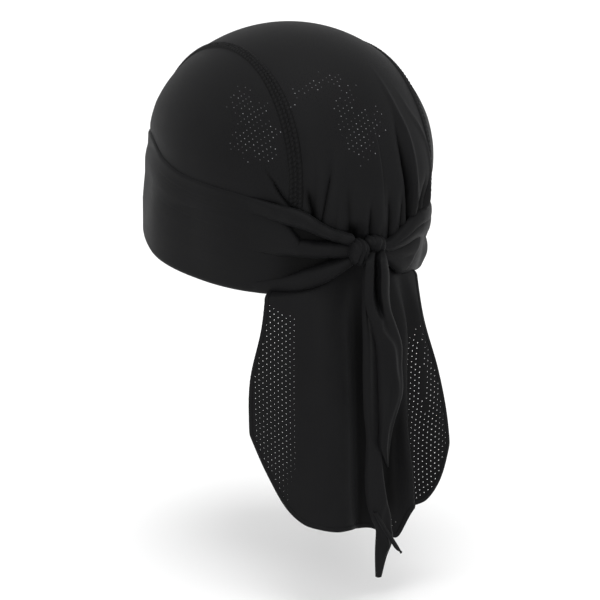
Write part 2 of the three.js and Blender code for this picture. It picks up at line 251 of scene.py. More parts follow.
halfWave, wholeWave = 3.1416, 6.2832  # in radians
knit = {
    # how much of a rib's height its loops take, and the scales, details and shares of the two noises
    # in its shade: a slow cloud and fine fibre
    "loopDepth": 0.2, "cloudScale": 0.05, "cloudDetail": 4.0, "cloudShare": 0.65,
    "fibreScale": 1.6, "fibreDetail": 2.0, "fibreShare": 0.35,
}


# knit: upright ribs, each a chain of small loops, with a slow unevenness in colour
def makeKnitGroup():
    sizes = [("Rib Width", 0.8), ("Loop Height", 0.6)]
    tree, given, out = newGroup("stretchKnit", sizes, ["Height", "Shade"])
    place = given.outputs["Map"]
    split = tree.nodes.new("ShaderNodeSeparateXYZ")
    tree.links.new(place, split.inputs[0])
    ribs = mathNode(tree, "DIVIDE", split.outputs[0], given.outputs["Rib Width"])
    loops = mathNode(tree, "DIVIDE", split.outputs[1], given.outputs["Loop Height"])
    ribWave = mathNode(tree, "ABSOLUTE", mathNode(tree, "SINE", mathNode(tree, "MULTIPLY", ribs, halfWave)))
    lean = mathNode(tree, "MULTIPLY", mathNode(tree, "PINGPONG", ribs, 0.5), 2.0)
    loopTurn = mathNode(tree, "MULTIPLY", mathNode(tree, "ADD", loops, lean), wholeWave)
    loopWave = mathNode(tree, "SINE", loopTurn)
    loopWave = mathNode(tree, "MULTIPLY_ADD", loopWave, knit["loopDepth"], 1 - knit["loopDepth"])
    tree.links.new(mathNode(tree, "MULTIPLY", ribWave, loopWave), out.inputs["Height"])
    cloud = noiseNode(tree, place, knit["cloudScale"], knit["cloudDetail"])
    fibre = noiseNode(tree, place, knit["fibreScale"], knit["fibreDetail"])
    cloud = mathNode(tree, "MULTIPLY", cloud, knit["cloudShare"])
    shade = mathNode(tree, "MULTIPLY_ADD", fibre, knit["fibreShare"], cloud)
    tree.links.new(shade, out.inputs["Shade"])
    return tree


# how sharp a pinhole's edge is, and the dimmest painted glint in a hole against the brightest
lattice = {"sharpness": 6.0, "dimmest": 0.2}


# staggered pinholes: the distance to the nearest hole of a lattice whose odd columns are half a pitch off.
# A hole gets a painted glint where a fixed chance, drawn for its column and row, falls below the zone's share
def makePinholeGroup():
    sizes = [("Column Pitch", 2.35), ("Hole Pitch", 3.0), ("Radius", 0.45), ("Where", 0.0)]
    tree, given, out = newGroup("pinholes", sizes, ["Hole", "Lit"])
    split = tree.nodes.new("ShaderNodeSeparateXYZ")
    tree.links.new(given.outputs["Map"], split.inputs[0])
    pitch, step = given.outputs["Column Pitch"], given.outputs["Hole Pitch"]
    column = mathNode(tree, "ROUND", mathNode(tree, "DIVIDE", split.outputs[0], pitch))
    aside = mathNode(tree, "SUBTRACT", split.outputs[0], mathNode(tree, "MULTIPLY", column, pitch))
    halfStep = mathNode(tree, "MULTIPLY", mathNode(tree, "FLOORED_MODULO", column, 2.0), 0.5)
    moved = mathNode(tree, "SUBTRACT", mathNode(tree, "DIVIDE", split.outputs[1], step), halfStep)
    row = mathNode(tree, "ROUND", moved)
    above = mathNode(tree, "MULTIPLY", mathNode(tree, "SUBTRACT", moved, row), step)
    squares = [mathNode(tree, "MULTIPLY", length, length) for length in (aside, above)]
    away = mathNode(tree, "SQRT", mathNode(tree, "ADD", *squares))
    edge = mathNode(tree, "SUBTRACT", given.outputs["Radius"], away)
    edge = mathNode(tree, "MULTIPLY", edge, lattice["sharpness"])
    hole = tree.nodes.new("ShaderNodeClamp")
    tree.links.new(edge, hole.inputs[0])
    tree.links.new(hole.outputs[0], out.inputs["Hole"])
    cell = tree.nodes.new("ShaderNodeCombineXYZ")
    tree.links.new(column, cell.inputs[0])
    tree.links.new(row, cell.inputs[1])
    chance = tree.nodes.new("ShaderNodeTexWhiteNoise")
    tree.links.new(cell.outputs[0], chance.inputs["Vector"])
    parts = tree.nodes.new("ShaderNodeSeparateColor")
    tree.links.new(chance.outputs["Color"], parts.inputs[0])
    seen = mathNode(tree, "LESS_THAN", parts.outputs[0], given.outputs["Where"])
    bright = mathNode(tree, "POWER", parts.outputs[1], 2.0)
    bright = mathNode(tree, "MULTIPLY_ADD", bright, 1 - lattice["dimmest"], lattice["dimmest"])
    lit = mathNode(tree, "MULTIPLY", mathNode(tree, "MULTIPLY", hole.outputs[0], seen), bright)
    tree.links.new(lit, out.inputs["Lit"])
    return tree


knitGroup = makeKnitGroup()
pinholeGroup = makePinholeGroup()


# a group placed in a material, with numbers or other nodes' outputs at its inputs
def placeGroup(tree, group, settings):
    node = tree.nodes.new("ShaderNodeGroup")
    node.node_tree = group
    for label, value in settings.items():
        if isinstance(value, (int, float)):
            node.inputs[label].default_value = value
        else:
            tree.links.new(value, node.inputs[label])
    return node


# two colours mixed by a factor; each is a constant or another node's output
def mixColours(tree, factor, a, b):
    node = tree.nodes.new("ShaderNodeMix")
    node.data_type = "RGBA"
    for socket, value in ((node.inputs[0], factor), (node.inputs[6], a), (node.inputs[7], b)):
        if isinstance(value, tuple):
            socket.default_value = (*value, 1)
        else:
            tree.links.new(value, socket)
    return node.outputs[2]


# a value kept at the mesh's points
def pointValue(tree, name):
    node = tree.nodes.new("ShaderNodeAttribute")
    node.attribute_name = name
    return node.outputs["Fac"]


# black stretch cloth: two near shades mixed by the knit group, with painted shade in the folds,
# ribs as bump and a soft sheen, and pinholes where asked
def makeClothMaterial(name, values):
    material = bpy.data.materials.new(name)
    material.use_nodes = True
    tree = material.node_tree
    shader = tree.nodes["Principled BSDF"]
    shader.inputs["Metallic"].default_value = 0.0
    shader.inputs["Specular IOR Level"].default_value = values["specular"]
    shader.inputs["Sheen Weight"].default_value = values["sheen"]
    shader.inputs["Sheen Roughness"].default_value = values["sheenRoughness"]
    shader.inputs["Sheen Tint"].default_value = (*values["sheenTint"], 1)
    place = tree.nodes.new("ShaderNodeUVMap")
    place.uv_map = "clothMap"
    sizes = {"Map": place.outputs[0], "Rib Width": values["rib"], "Loop Height": values["loop"]}
    ribs = placeGroup(tree, knitGroup, sizes)
    height = ribs.outputs["Height"]
    colour = mixColours(tree, ribs.outputs["Shade"], values["dark"], values["light"])
    # painted shade: the colour goes towards foldDark by the points' foldShade value
    colour = mixColours(tree, pointValue(tree, "foldShade"), colour, values["foldDark"])
    # painted pinholes: dark ones, and lit ones whose pale colour is a painted glint off the head inside
    if "litHoles" in values:
        lit = pointValue(tree, "litZone")
        sizes = {"Map": place.outputs[0], "Where": lit, "Radius": values["holeRadius"]}
        holes = placeGroup(tree, pinholeGroup, sizes)
        shown = mathNode(tree, "MULTIPLY", holes.outputs["Hole"], pointValue(tree, "holeZone"))
        colour = mixColours(tree, shown, colour, values["holeDark"])
        colour = mixColours(tree, holes.outputs["Lit"], colour, values["litHoles"])
        height = mathNode(tree, "SUBTRACT", height, mathNode(tree, "MULTIPLY", shown, values["holeDepth"]))
    tree.links.new(colour, shader.inputs["Base Color"])
    rough = mathNode(tree, "MULTIPLY_ADD", ribs.outputs["Shade"], values["roughSpread"], values["rough"])
    tree.links.new(rough, shader.inputs["Roughness"])
    bump = tree.nodes.new("ShaderNodeBump")
    bump.inputs["Strength"].default_value = values["bump"]
    bump.inputs["Distance"].default_value = values["bumpDepth"] * mm
    tree.links.new(height, bump.inputs["Height"])
    tree.links.new(bump.outputs[0], shader.inputs["Normal"])
    return material


# the cloth's colours; foldDark is the colour of the painted shade in folds
blackCloth = {
    "dark": (0.0038, 0.0038, 0.0041), "light": (0.0074, 0.0074, 0.0079), "rough": 0.5, "roughSpread": 0.15,
    "specular": 0.07, "sheen": 0.012, "sheenRoughness": 0.4, "sheenTint": (0.8, 0.82, 0.86),
    "rib": 0.8, "loop": 0.6, "bump": 0.35, "bumpDepth": 0.12, "foldDark": (0.0004, 0.0004, 0.0004),
}
# pinholes: a pale colour for the lit ones, which is a painted glint, and a dark one for the rest
pinholes = {
    "litHoles": (0.29, 0.29, 0.3), "holeDark": (0.002, 0.002, 0.002), "holeRadius": 0.31, "holeDepth": 2.5,
}
thread = {**blackCloth, "rib": 0.4, "loop": 1.2, "bump": 0.6}
seamColours = {"dark": (0.0036, 0.0036, 0.0038), "light": (0.0095, 0.0095, 0.01)}
coverColours = {"dark": (0.012, 0.012, 0.0125), "light": (0.032, 0.032, 0.033)}
crownCloth = makeClothMaterial("crownKnit", {**blackCloth, **pinholes})
bandCloth = makeClothMaterial("bandKnit", {**blackCloth, "light": (0.0068, 0.0068, 0.0073)})
flapCloth = makeClothMaterial("meshKnit", {**blackCloth, "dark": (0.0036, 0.0036, 0.0039)})
seamCloth = makeClothMaterial("seamThread", {**thread, **seamColours})
coverThread = makeClothMaterial("coverThread", {**thread, **coverColours})
print("materials made")

# the photo's view: degrees round from the front and up, distance and target in metres
view = {
    "azimuth": 150.0, "elevation": 12.0, "distance": 0.973, "target": (-0.0065, 0.00375, -0.034),
    "lens": 100.0, "sensor": 36.0, "farthest": 50.0,
}


# a camera that stands off its target along the view's direction and looks back at it
def makeCamera():
    a, e = np.radians(view["azimuth"]), np.radians(view["elevation"])
    back = Vector((np.sin(a) * np.cos(e), -np.cos(a) * np.cos(e), np.sin(e)))
    right = Vector((np.cos(a), np.sin(a), 0))
    data = bpy.data.cameras.new("camera")
    data.lens = view["lens"]
    data.sensor_width = view["sensor"]
    data.clip_end = view["farthest"]
    camera = bpy.data.objects.new("camera", data)
    bpy.context.scene.collection.objects.link(camera)
    turn = Matrix((right, back.cross(right), back)).transposed().to_4x4()
    camera.matrix_world = Matrix.Translation(Vector(view["target"]) + back * view["distance"]) @ turn
    bpy.context.scene.camera = camera


studio = {
    # the floor's height and half its width, in metres
    "floorHeight": -0.186, "floorReach": 45.0, "floorColour": 0.9, "floorRough": 0.9, "floorShine": 0.1,
    "sky": 0.78,
    # each light: where it comes from, how wide it looks in degrees, strength
    "lights": [
        ((0.06, 0.1, 1.0), 34, 1.15), ((0.75, -0.3, 0.75), 50, 0.3),
        ((-0.95, 0.25, 0.35), 40, 0.35), ((0.5, 0.85, 0.35), 60, 1.0),
    ],
}


# a white sky, and wide soft suns from the table's directions
def makeLights():
    scene = bpy.context.scene
    scene.world = bpy.data.worlds.new("sky")
    scene.world.use_nodes = True
    background = scene.world.node_tree.nodes["Background"]
    background.inputs[0].default_value = (1, 1, 1, 1)
    background.inputs[1].default_value = studio["sky"]
    for i, (place, width, strength) in enumerate(studio["lights"]):
        data = bpy.data.lights.new(f"softLight{i}", "SUN")
        data.angle = np.radians(width)
        data.energy = strength
        light = bpy.data.objects.new(f"softLight{i}", data)
        scene.collection.objects.link(light)
        light.matrix_world = (-Vector(place)).to_track_quat("-Z", "Y").to_matrix().to_4x4()


# a pale level square below the cap
def makeFloor():
    material = bpy.data.materials.new("paleFloor")
    material.use_nodes = True
    shader = material.node_tree.nodes["Principled BSDF"]
    shader.inputs["Base Color"].default_value = (*[studio["floorColour"]] * 3, 1)
    shader.inputs["Roughness"].default_value = studio["floorRough"]
    shader.inputs["Specular IOR Level"].default_value = studio["floorShine"]
    side = np.array([-1, 1]) * studio["floorReach"] / mm
    x, y = np.meshgrid(side, side)
    corners = np.stack([x, y, np.full_like(x, studio["floorHeight"] / mm)], -1).reshape(-1, 3)
    floor = makeMesh("floor", corners, [np.array([[0, 1, 3, 2]])], material)


makeCamera()
makeLights()
makeFloor()
bpy.context.scene.view_settings.view_transform = "Standard"
print("camera, lights and floor made")

band = {
    "depth": 58.0, "stand": 3.4, "cloth": 1.9, "leftEnd": 12.5, "rightEnd": -2.5,
    # how near an edge the cloth starts to round over, and how far it drops there
    "lip": 1.6, "lipDrop": 0.9,
    # the plain part's slack, and how much nearer and thinner its top edge lies on the crown
    "slack": 0.35, "snugDrop": 0.9, "snugThin": 0.8,
    # its edges as shares of its depth: degrees from the middle of the back,
    # lower and upper edge on the wearer's left, then on the right
    "edges": [
        (0, 0.16, 0.30, 0.150, 0.25), (4, 0.155, 0.31, 0.095, 0.268), (8, 0.14, 0.315, 0.030, 0.328),
        (12, 0.10, 0.335, -0.034, 0.393), (16, 0.028, 0.365, -0.056, 0.455),
        (20, -0.04, 0.40, -0.068, 0.49), (24, -0.09, 0.455, -0.074, 0.50),
        (28, -0.13, 0.525, -0.088, 0.505), (32, -0.165, 0.565, -0.104, 0.51),
        (38, -0.195, 0.59, -0.124, 0.515), (44, -0.21, 0.625, -0.135, 0.53),
        (54, -0.212, 0.685, -0.148, 0.58), (66, -0.19, 0.74, -0.15, 0.69),
        (78, -0.145, 0.80, -0.125, 0.80), (92, -0.07, 0.915, -0.07, 0.915),
        (110, 0.055, 1.08, 0.055, 1.08), (128, 0.145, 1.09, 0.145, 1.09), (155, 0.185, 1.07, 0.185, 1.07),
        (180, 0.2, 1.07, 0.2, 1.07),
    ],
    # the wearer's left tie, in shares of its height: degrees, top of its lower rope,
    # its middle strip from and to, foot of its upper rope, and how far the folds stand out
    "leftRopes": [
        (12, 0.22, 0.27, 0.72, 0.79, 6.6), (16, 0.27, 0.41, 0.73, 0.84, 7.0),
        (20, 0.30, 0.49, 0.73, 0.87, 7.2), (26, 0.24, 0.46, 0.65, 0.85, 6.6),
        (31, 0.19, 0.46, 0.62, 0.83, 5.2), (35, 0.16, 0.46, 0.79, 0.84, 3.8),
        (38, 0.14, 0.46, 0.84, 0.85, 2.8), (50, 0.09, 0.47, 0.84, 0.86, 0.0),
    ],
    # the right tie: degrees, top of its lower lobe, foot of its upper rope, how far they stand out
    "rightRopes": [
        (-3, 0.50, 0.58, 5.6), (4, 0.52, 0.58, 5.8), (10, 0.56, 0.60, 5.6), (20, 0.57, 0.60, 4.6),
        (30, 0.58, 0.59, 2.4), (44, 0.58, 0.59, 0.0),
    ],
    # the middle strip's and the lower lobe's height against the ropes, the twist of a rope 5 mm high,
    # and the painted shade between the left tie's folds
    "stripHeight": 0.86, "lobeHeight": 0.8, "twist": 0.35, "shade": 0.9,
    # the upper rope's groove and the lobe's soft one: share of the height, depth, width
    "grooves": [(0.83, 0.16, 0.035), (0.32, 0.1, 0.06)],
    # the tie's doubled end: degrees at its foot, degrees more up to its top, its top, and the step past it
    "endTurn": 13.3, "endSlant": 17, "endTop": 0.62, "endStep": 2.5,
    # beside the head, a small bulge and a notch over it: share of the height, how far, width
    "bulge": (0.2, 1.5, 0.13), "notch": (0.4, 2.2, 0.07),
}


# the height of one of the band's edges at a turn
def bandEdge(turn, which):
    d = signedDegrees(turn)
    rows = np.array(band["edges"])
    column = 1 if which == "lower" else 2
    left = through(rows[:, 0], rows[:, column], np.abs(d))
    right = through(rows[:, 0], rows[:, column + 2], np.abs(d))
    return band["depth"] * np.where(d < 0, right, left)


crown = {
    "cloth": 1.2, "hem": 6.0, "seamSide": 40.4, "rise": 5.6, "reach": 54.0, "deepest": 3.8,
    # half the gap that a seam covers between two panels
    "joint": 0.2,
    # the ripples above the ties: height, radians of their wave for each degree, how far they bend
    # and over what height, and how far up they die out
    "ripple": 0.35, "ripplePhase": 1.15, "rippleBend": 0.7, "bendHeight": 9, "rippleReach": 11,
    # a valley's power across it, and how much wider it is at its top
    "valleyPower": 1.4, "valleyWiden": 0.6,
    # a valley's painted shade: most, the depth where it starts and over which it grows,
    # and its share of the width
    "shade": 0.95, "shadeFrom": 0.5, "shadeSpan": 2.4, "shadeWidth": 0.8,
    # valleys of the gathers: (degrees from the middle of the back, height) from the ties up,
    # then depth and half width. The last two are ridges, with a negative depth
    "valleys": [
        ([(33.5, 34), (37.3, 40), (40.2, 46.5), (43.2, 53), (45, 60)], 3.0, 1.5),
        ([(26.3, 33), (27.3, 40), (28.4, 49)], 3.6, 2.0),
        ([(25.2, 40), (25.5, 54), (25.8, 64)], 0.9, 1.4),
        ([(23, 29), (21.5, 42), (18, 66)], 2.4, 1.5),
        ([(18.4, 25), (17.8, 34), (17.0, 46)], 1.0, 1.6),
        ([(12.8, 20), (13.5, 36), (14, 58)], 2.0, 2.6),
        ([(11.6, 16), (11.2, 21), (10.8, 29)], 3.4, 3.4),
        ([(7.9, 14), (7.6, 20), (7.4, 27)], 1.0, 0.9),
        ([(4.4, 13), (4.8, 27), (5.2, 42)], 3.6, 1.5),
        ([(0.2, 13), (0.3, 20), (0.4, 28)], 1.2, 1.2),
        ([(-4.2, 13), (-3.7, 29), (-2.2, 48)], 4.0, 2.0),
        ([(-9.4, 15), (-9.2, 30), (-8.5, 48)], 3.4, 1.7),
        ([(-14.2, 18), (-12.9, 39), (-11.8, 54), (-11.7, 66), (-12, 80)], 12.0, 1.55),
        ([(-15.8, 20), (-17.8, 27), (-20.2, 37), (-22, 50)], 5.4, 1.6),
        ([(-21, 26), (-23.5, 38), (-26, 52)], 2.4, 1.4),
        ([(-26, 30), (-29, 42), (-32, 56)], 1.6, 1.5),
        ([(-15.6, 36), (-15.1, 49), (-15.3, 61.5), (-15.5, 71.5), (-14.8, 80), (-14.4, 88),
         (-14, 104)], -2.1, 1.2),
        ([(-25.5, 40), (-26.5, 50), (-27.5, 62.5), (-25.5, 73), (-23.2, 80.5), (-21.5, 96)], -1.2, 1.3),
    ],
    # patches of pinholes: place on the crown, radius, share of holes that get a painted glint
    "litPatches": [
        (52, 68, 65, 10, 1.0), (53, 64, 70, 13, 1.0), (52, 58, 78, 12, 0.95), (53, 48, 88, 9, 0.7),
        (58, 57, 68, 9, 0.8), (58, 60, 60, 5, 0.5), (16, 87, 80, 6, 0.8), (12, 84, 87, 7, 0.8),
        (10, 92, 68, 10, 1.0), (6, 89, 76, 12, 1.0), (13, 86, 79, 9, 0.9), (1, 88, 80, 8, 0.5),
        (8, 95, 60, 6, 0.8), (9, 78, 94, 6, 0.7), (12, 74, 98, 5, 0.6), (17, 71, 99, 5.5, 0.8),
        (25, 70, 96, 5, 0.8), (32, 70, 91, 5, 0.7), (37, 71, 86, 4.5, 0.7),
    ],
    # strength in a patch's middle, cut off at 1, and its fall over one radius: lit holes, then all holes
    "litFall": (1.5, 1.2), "holeFall": (1.7, 1.4),
    "holePatches": [(55, 60, 70, 30, 0.8), (8, 88, 76, 24, 0.8), (22, 71, 97, 18, 0.8)],
}


# distance to a fold line round the head, and how far up the line a point is, from 0 to 1
def toFold(turn, height, line):
    degrees, heights = np.array(line, float).T
    middle = np.interp(height, heights, degrees)
    reach = np.hypot(head["halfLength"] * np.sin(turn), head["halfWidth"] * np.cos(turn))
    away = np.radians(signedDegrees(turn) - middle) * reach
    return away, (height - heights[0]) / (heights[-1] - heights[0])


# how deep the valleys cut: each is full from just under the ties' upper edge, fades out over the last
# three quarters of its line, and falls off across it as a pointed bell that widens upwards
def valleyCuts(turn, height, narrow=1.0):
    above = height - bandEdge(turn, "upper")
    cut = 0
    for line, depth, width in crown["valleys"]:
        away, run = toFold(turn, height, line)
        fade = smooth((1.05 - run) / 0.75)
        wide = width * narrow * (1 + crown["valleyWiden"] * np.clip(run, 0, 1))
        across = np.exp(-(np.abs(away / wide) ** crown["valleyPower"]))
        cut = cut + depth * fade * across * smooth((above + 6) / 5)
    return cut


# how far the cloth stands off the head above the ties: a soft swell between the seams,
# cut by valleys that narrow to cusps, with fine ripples that die out upwards
def gathers(turn, height):
    above = height - bandEdge(turn, "upper")
    side = onHead(turn, height, 0)[..., 0] / crown["seamSide"]
    swell = crown["rise"] * smooth((above + 5) / 8) * smooth((crown["reach"] * 1.15 - above) / crown["reach"])
    middle = smooth((1.12 - np.abs(side)) / 0.4)  # full in the middle, gone just past the seams
    bend = crown["rippleBend"] * np.sin(height / crown["bendHeight"])
    wave = np.sin(signedDegrees(turn) * crown["ripplePhase"] + bend)
    ripples = wave * np.exp(-np.clip(above, 0, 99) / crown["rippleReach"])
    lift = swell * middle - valleyCuts(turn, height) + crown["ripple"] * ripples * middle
    return np.where(np.cos(turn) > 0, np.maximum(lift, -crown["deepest"]), 0)


# the crown's outer face: off the head by its cloth and its gathers
def onCrown(turn, height):
    return onHead(turn, height, crown["cloth"] + gathers(turn, height))


# how strongly points lie in round patches: a patch's share near its middle, falling to 0 past its radius
def inPatches(points, patches, full, fall):
    strength = np.zeros(points.shape[:-1])
    for x, y, z, radius, share in patches:
        away = np.linalg.norm(points - np.array([x, y, z]), axis=-1)
        strength = np.maximum(strength, share * smooth(full - fall * away / radius))
    return strength


# the crown's values: where holes show, where they get a painted glint, and the painted shade
# of its valleys by their depth
def crownValues(points):
    lit = inPatches(points, crown["litPatches"], *crown["litFall"])
    holes = inPatches(points, crown["holePatches"], *crown["holeFall"])
    up = np.clip((points[..., 2] - head["wall"]) / head["dome"], 0, 1)
    turn = turnOf(points, head["lean"] * up**2)
    cut = np.where(np.cos(turn) > 0, valleyCuts(turn, points[..., 2], crown["shadeWidth"]), 0)
    # painted shade, darker where a valley cuts deeper
    shade = crown["shade"] * smooth((np.clip(cut, 0, 9) - crown["shadeFrom"]) / crown["shadeSpan"])
    return {"litZone": lit, "holeZone": np.maximum(holes, lit), "foldShade": shade}


# the middle panel: rows up the forehead, over the dome in arcs of equal side distance, and down to the nape
def makeCrownCentre():
    columns, browRows, domeRows, napeRows = 150, 24, 130, 96
    half = crown["seamSide"] - crown["joint"]
    across = np.linspace(-half, half, columns)[None, :]
    wide = across / head["halfWidth"]
    reach = np.sqrt(1 - wide**2)
    foot = turnAtSide(across, 0.0)
    low = bandEdge(np.pi - foot, "lower") + crown["hem"]
    height = low + (head["wall"] - low) * np.linspace(0, 1, browRows)[:-1, None]
    brow = onCrown(np.pi - turnAtSide(across, height), height)
    sweep = np.pi * np.linspace(0, 1, domeRows)[:-1, None]
    turn = np.arctan2(wide, -reach * np.cos(sweep))
    dome = onCrown(turn, head["wall"] + head["dome"] * reach * np.sin(sweep))
    low = bandEdge(foot, "lower") + crown["hem"]
    height = low + (head["wall"] - low) * np.linspace(1, 0, napeRows)[:, None]
    nape = onCrown(turnAtSide(across, height), height)
    points = np.concatenate([brow, dome, nape])[::-1]
    flatMap = gridMap(points, columns // 2, napeRows)
    return gridCloth("crownCentre", points, crown["cloth"], crownCloth, flatMap, crownValues(points))


# a side panel: level rows from the hem up, which shorten over the dome
def makeCrownSide(name, hand):
    columns, wallRows, domeRows = 170, 50, 70
    edge = crown["seamSide"] + crown["joint"]
    top = head["dome"] * np.sqrt(1 - (edge / head["halfWidth"]) ** 2) - 0.02  # just short of a point
    u = np.linspace(0, 1, columns)[None, :]
    foot = turnAtSide(edge, 0.0)
    low = bandEdge(hand * (foot + (np.pi - 2 * foot) * u), "lower") + crown["hem"]
    height = low + (head["wall"] - low) * np.linspace(0, 1, wallRows)[:-1, None]
    first = turnAtSide(edge, height)
    wall = onCrown(hand * (first + (np.pi - 2 * first) * u), height)
    level = head["wall"] + top * np.sin(np.linspace(0, 1, domeRows)[:, None] * np.pi / 2)
    rise = np.clip((level - head["wall"]) / head["dome"], 0, 1)
    first = np.arcsin(np.clip(edge / (head["halfWidth"] * np.sqrt(1 - rise**2)), -1, 1))
    level = np.broadcast_to(level, (domeRows, columns))
    dome = onCrown(hand * (first + (np.pi - 2 * first) * u), level)
    points = np.concatenate([wall, dome])
    if hand < 0:
        points = points[:, ::-1]
    flatMap = gridMap(points, 0 if hand > 0 else columns - 1, wallRows - 1)
    return gridCloth(name, points, crown["cloth"], crownCloth, flatMap, crownValues(points))


seam = {
    "width": 5.2, "thick": 0.9, "stitch": 2.6, "thread": 0.45, "stand": 0.25,
    # the strip's share over the dome, its width there as a share of the width down the back,
    # and the painted shade on the cloth between its threads, left (1) and right (-1)
    "onDome": 0.87, "domeWidth": 0.62, "shade": {1: 0.75, -1: 0.2},
    # how far below the band's upper edge its ends are hidden, at the front and at the back
    "frontEnd": 4.0, "backEnd": 2.5,
    # rows of stitches: place across the strip from -1 to 1, and how far the wave is shifted
    "rows": [(-0.66, 0), (0.66, 1.5), (0.0, 3)], "rowWidth": 0.12,
    # the crossing thread: how far it swings to each side, width, height against the others
    "swing": 0.6, "crossWidth": 0.16, "crossHeight": 0.7,
}


# a flat strip over a panel joint: raised in its middle, with rows of stitches and a crossing thread.
# It is narrower over the front and top than down the back
def makeSeam(name, hand):
    w = np.linspace(-1, 1, 25)[None, :]
    v = np.linspace(0, 1, 560)[:, None]
    share = seam["domeWidth"] + (1 - seam["domeWidth"]) * smooth((v - 0.5) / 0.25)
    across = crown["seamSide"] + w * seam["width"] / 2 * share
    wide = across / head["halfWidth"]
    reach = np.sqrt(1 - wide**2)
    foot = turnAtSide(crown["seamSide"], head["wall"])
    startLow = bandEdge(np.pi - foot, "upper") - seam["frontEnd"]
    endLow = bandEdge(hand * foot, "upper") - seam["backEnd"]
    first = np.arcsin(np.clip((startLow - head["wall"]) / (head["dome"] * reach), 0, 1))
    sweep = first + (np.pi - first) * np.clip(v / seam["onDome"], 0, 1)
    domeTurn = np.arctan2(wide, -reach * np.cos(sweep))
    domeHeight = head["wall"] + head["dome"] * reach * np.sin(sweep)
    down = np.clip((v - seam["onDome"]) / (1 - seam["onDome"]), 0, 1)
    wallHeight = head["wall"] + (endLow - head["wall"]) * down
    wallTurn = turnAtSide(across + 0 * wallHeight, wallHeight)
    onDome = v <= seam["onDome"]
    turn = hand * np.where(onDome, domeTurn, wallTurn)
    height = np.where(onDome, domeHeight, wallHeight)
    under = crown["cloth"] + gathers(turn, height)
    run = gridMap(onHead(turn, height, under))[..., 1]
    edge = np.sqrt(np.clip(1 - np.abs(w) ** 6, 0, 1))
    stitches = 0
    for place, turnBy in seam["rows"]:
        wave = 0.55 + 0.45 * np.cos(2 * np.pi * run / seam["stitch"] + turnBy)
        stitches = stitches + bell(w - place, seam["rowWidth"]) * wave
    zigzag = np.abs((run / seam["stitch"]) % 1 * 2 - 1) * (2 * seam["swing"]) - seam["swing"]
    stitches = np.maximum(stitches, bell(w - zigzag, seam["crossWidth"]) * seam["crossHeight"])
    off = under + seam["stand"] + seam["thick"] * edge + seam["thread"] * stitches
    points = onHead(turn, height, off)
    # painted shade between the raised threads, fading out towards the strip's edges
    shade = seam["shade"][hand] * (1 - np.clip(stitches, 0, 1)) * edge
    if hand > 0:
        points, shade = points[:, ::-1], shade[:, ::-1]
    return gridCloth(name, points, seam["thick"], seamCloth, None, {"foldShade": shade})


crownCentre = makeCrownCentre()
crownLeft = makeCrownSide("crownLeft", 1)
crownRight = makeCrownSide("crownRight", -1)
seamLeft = makeSeam("seamLeft", 1)
seamRight = makeSeam("seamRight", -1)
print("crown and seams made")


# a rope of bunched cloth between two shares of the tie's height: a rounded hump with steep sides
def rope(v, start, end):
    q = np.clip(np.abs((2 * v - start - end) / (end - start)), 0, 1)
    return np.sqrt(1 - q**2.6)


# the left tie's folds at degrees from the back and shares of its height: two ropes and a flatter strip
# between them, with a fine twist on the upper one. Also gives how far they stand out at most
def leftFolds(d, v):
    keys = np.array(band["leftRopes"], float).T
    lowTop, stripFrom, stripTo, upFoot, stand = (np.interp(d, keys[0], row) for row in keys[1:])
    lower = np.maximum(rope(v, -0.03, lowTop), band["stripHeight"] * rope(v, stripFrom, stripTo))
    humps = np.maximum(lower, rope(v, upFoot, 1.02))
    twist = band["twist"] * np.sin(d * 0.9 + 9 * v) * smooth((v - upFoot) / 0.05)
    return stand * humps + twist * stand / 5, stand


# the right tie's folds: a lower lobe and an upper rope
def rightFolds(d, v):
    keys = np.array(band["rightRopes"], float).T
    lobeTop, upFoot, stand = (np.interp(-d, keys[0], row) for row in keys[1:])
    humps = np.maximum(band["lobeHeight"] * rope(v, -0.05, lobeTop) ** 0.8, rope(v, upFoot, 1.03))
    lift = stand * (humps - sum(deep * bell(v - place, wide) for place, deep, wide in band["grooves"]))
    # the doubled end lies on the band and drops off along a slanting edge
    top = band["endTop"]
    edgeTurn = -(band["endTurn"] + band["endSlant"] * np.clip(v, 0, top))
    drop = band["endStep"] * smooth((edgeTurn - d) / 0.6) * smooth((top - v) / 0.05)
    lift = lift - drop * smooth((d + 46) / 12)
    # the tie ends beside the head, between 38 and 80 degrees
    beside = smooth((-d - 38) / 10) * smooth((80 + d) / 14)
    (low, out, lowWide), (high, deep, highWide) = band["bulge"], band["notch"]
    return lift + beside * (out * bell(v - low, lowWide) - deep * bell(v - high, highWide))


# how far a tie's folds stand out, and the painted shade between the left tie's folds
def tieFolds(d, v):
    left, leftStand = leftFolds(d, v)
    lift = np.where(d > 4, left, rightFolds(d, v))
    tall = np.where(d > 4, leftStand, 0)
    # painted shade in the hollows between the left tie's folds
    hollow = smooth((0.72 * tall - lift) / (0.5 * tall + 0.3))
    return lift, band["shade"] * hollow * smooth((tall - 1.0) / 4)


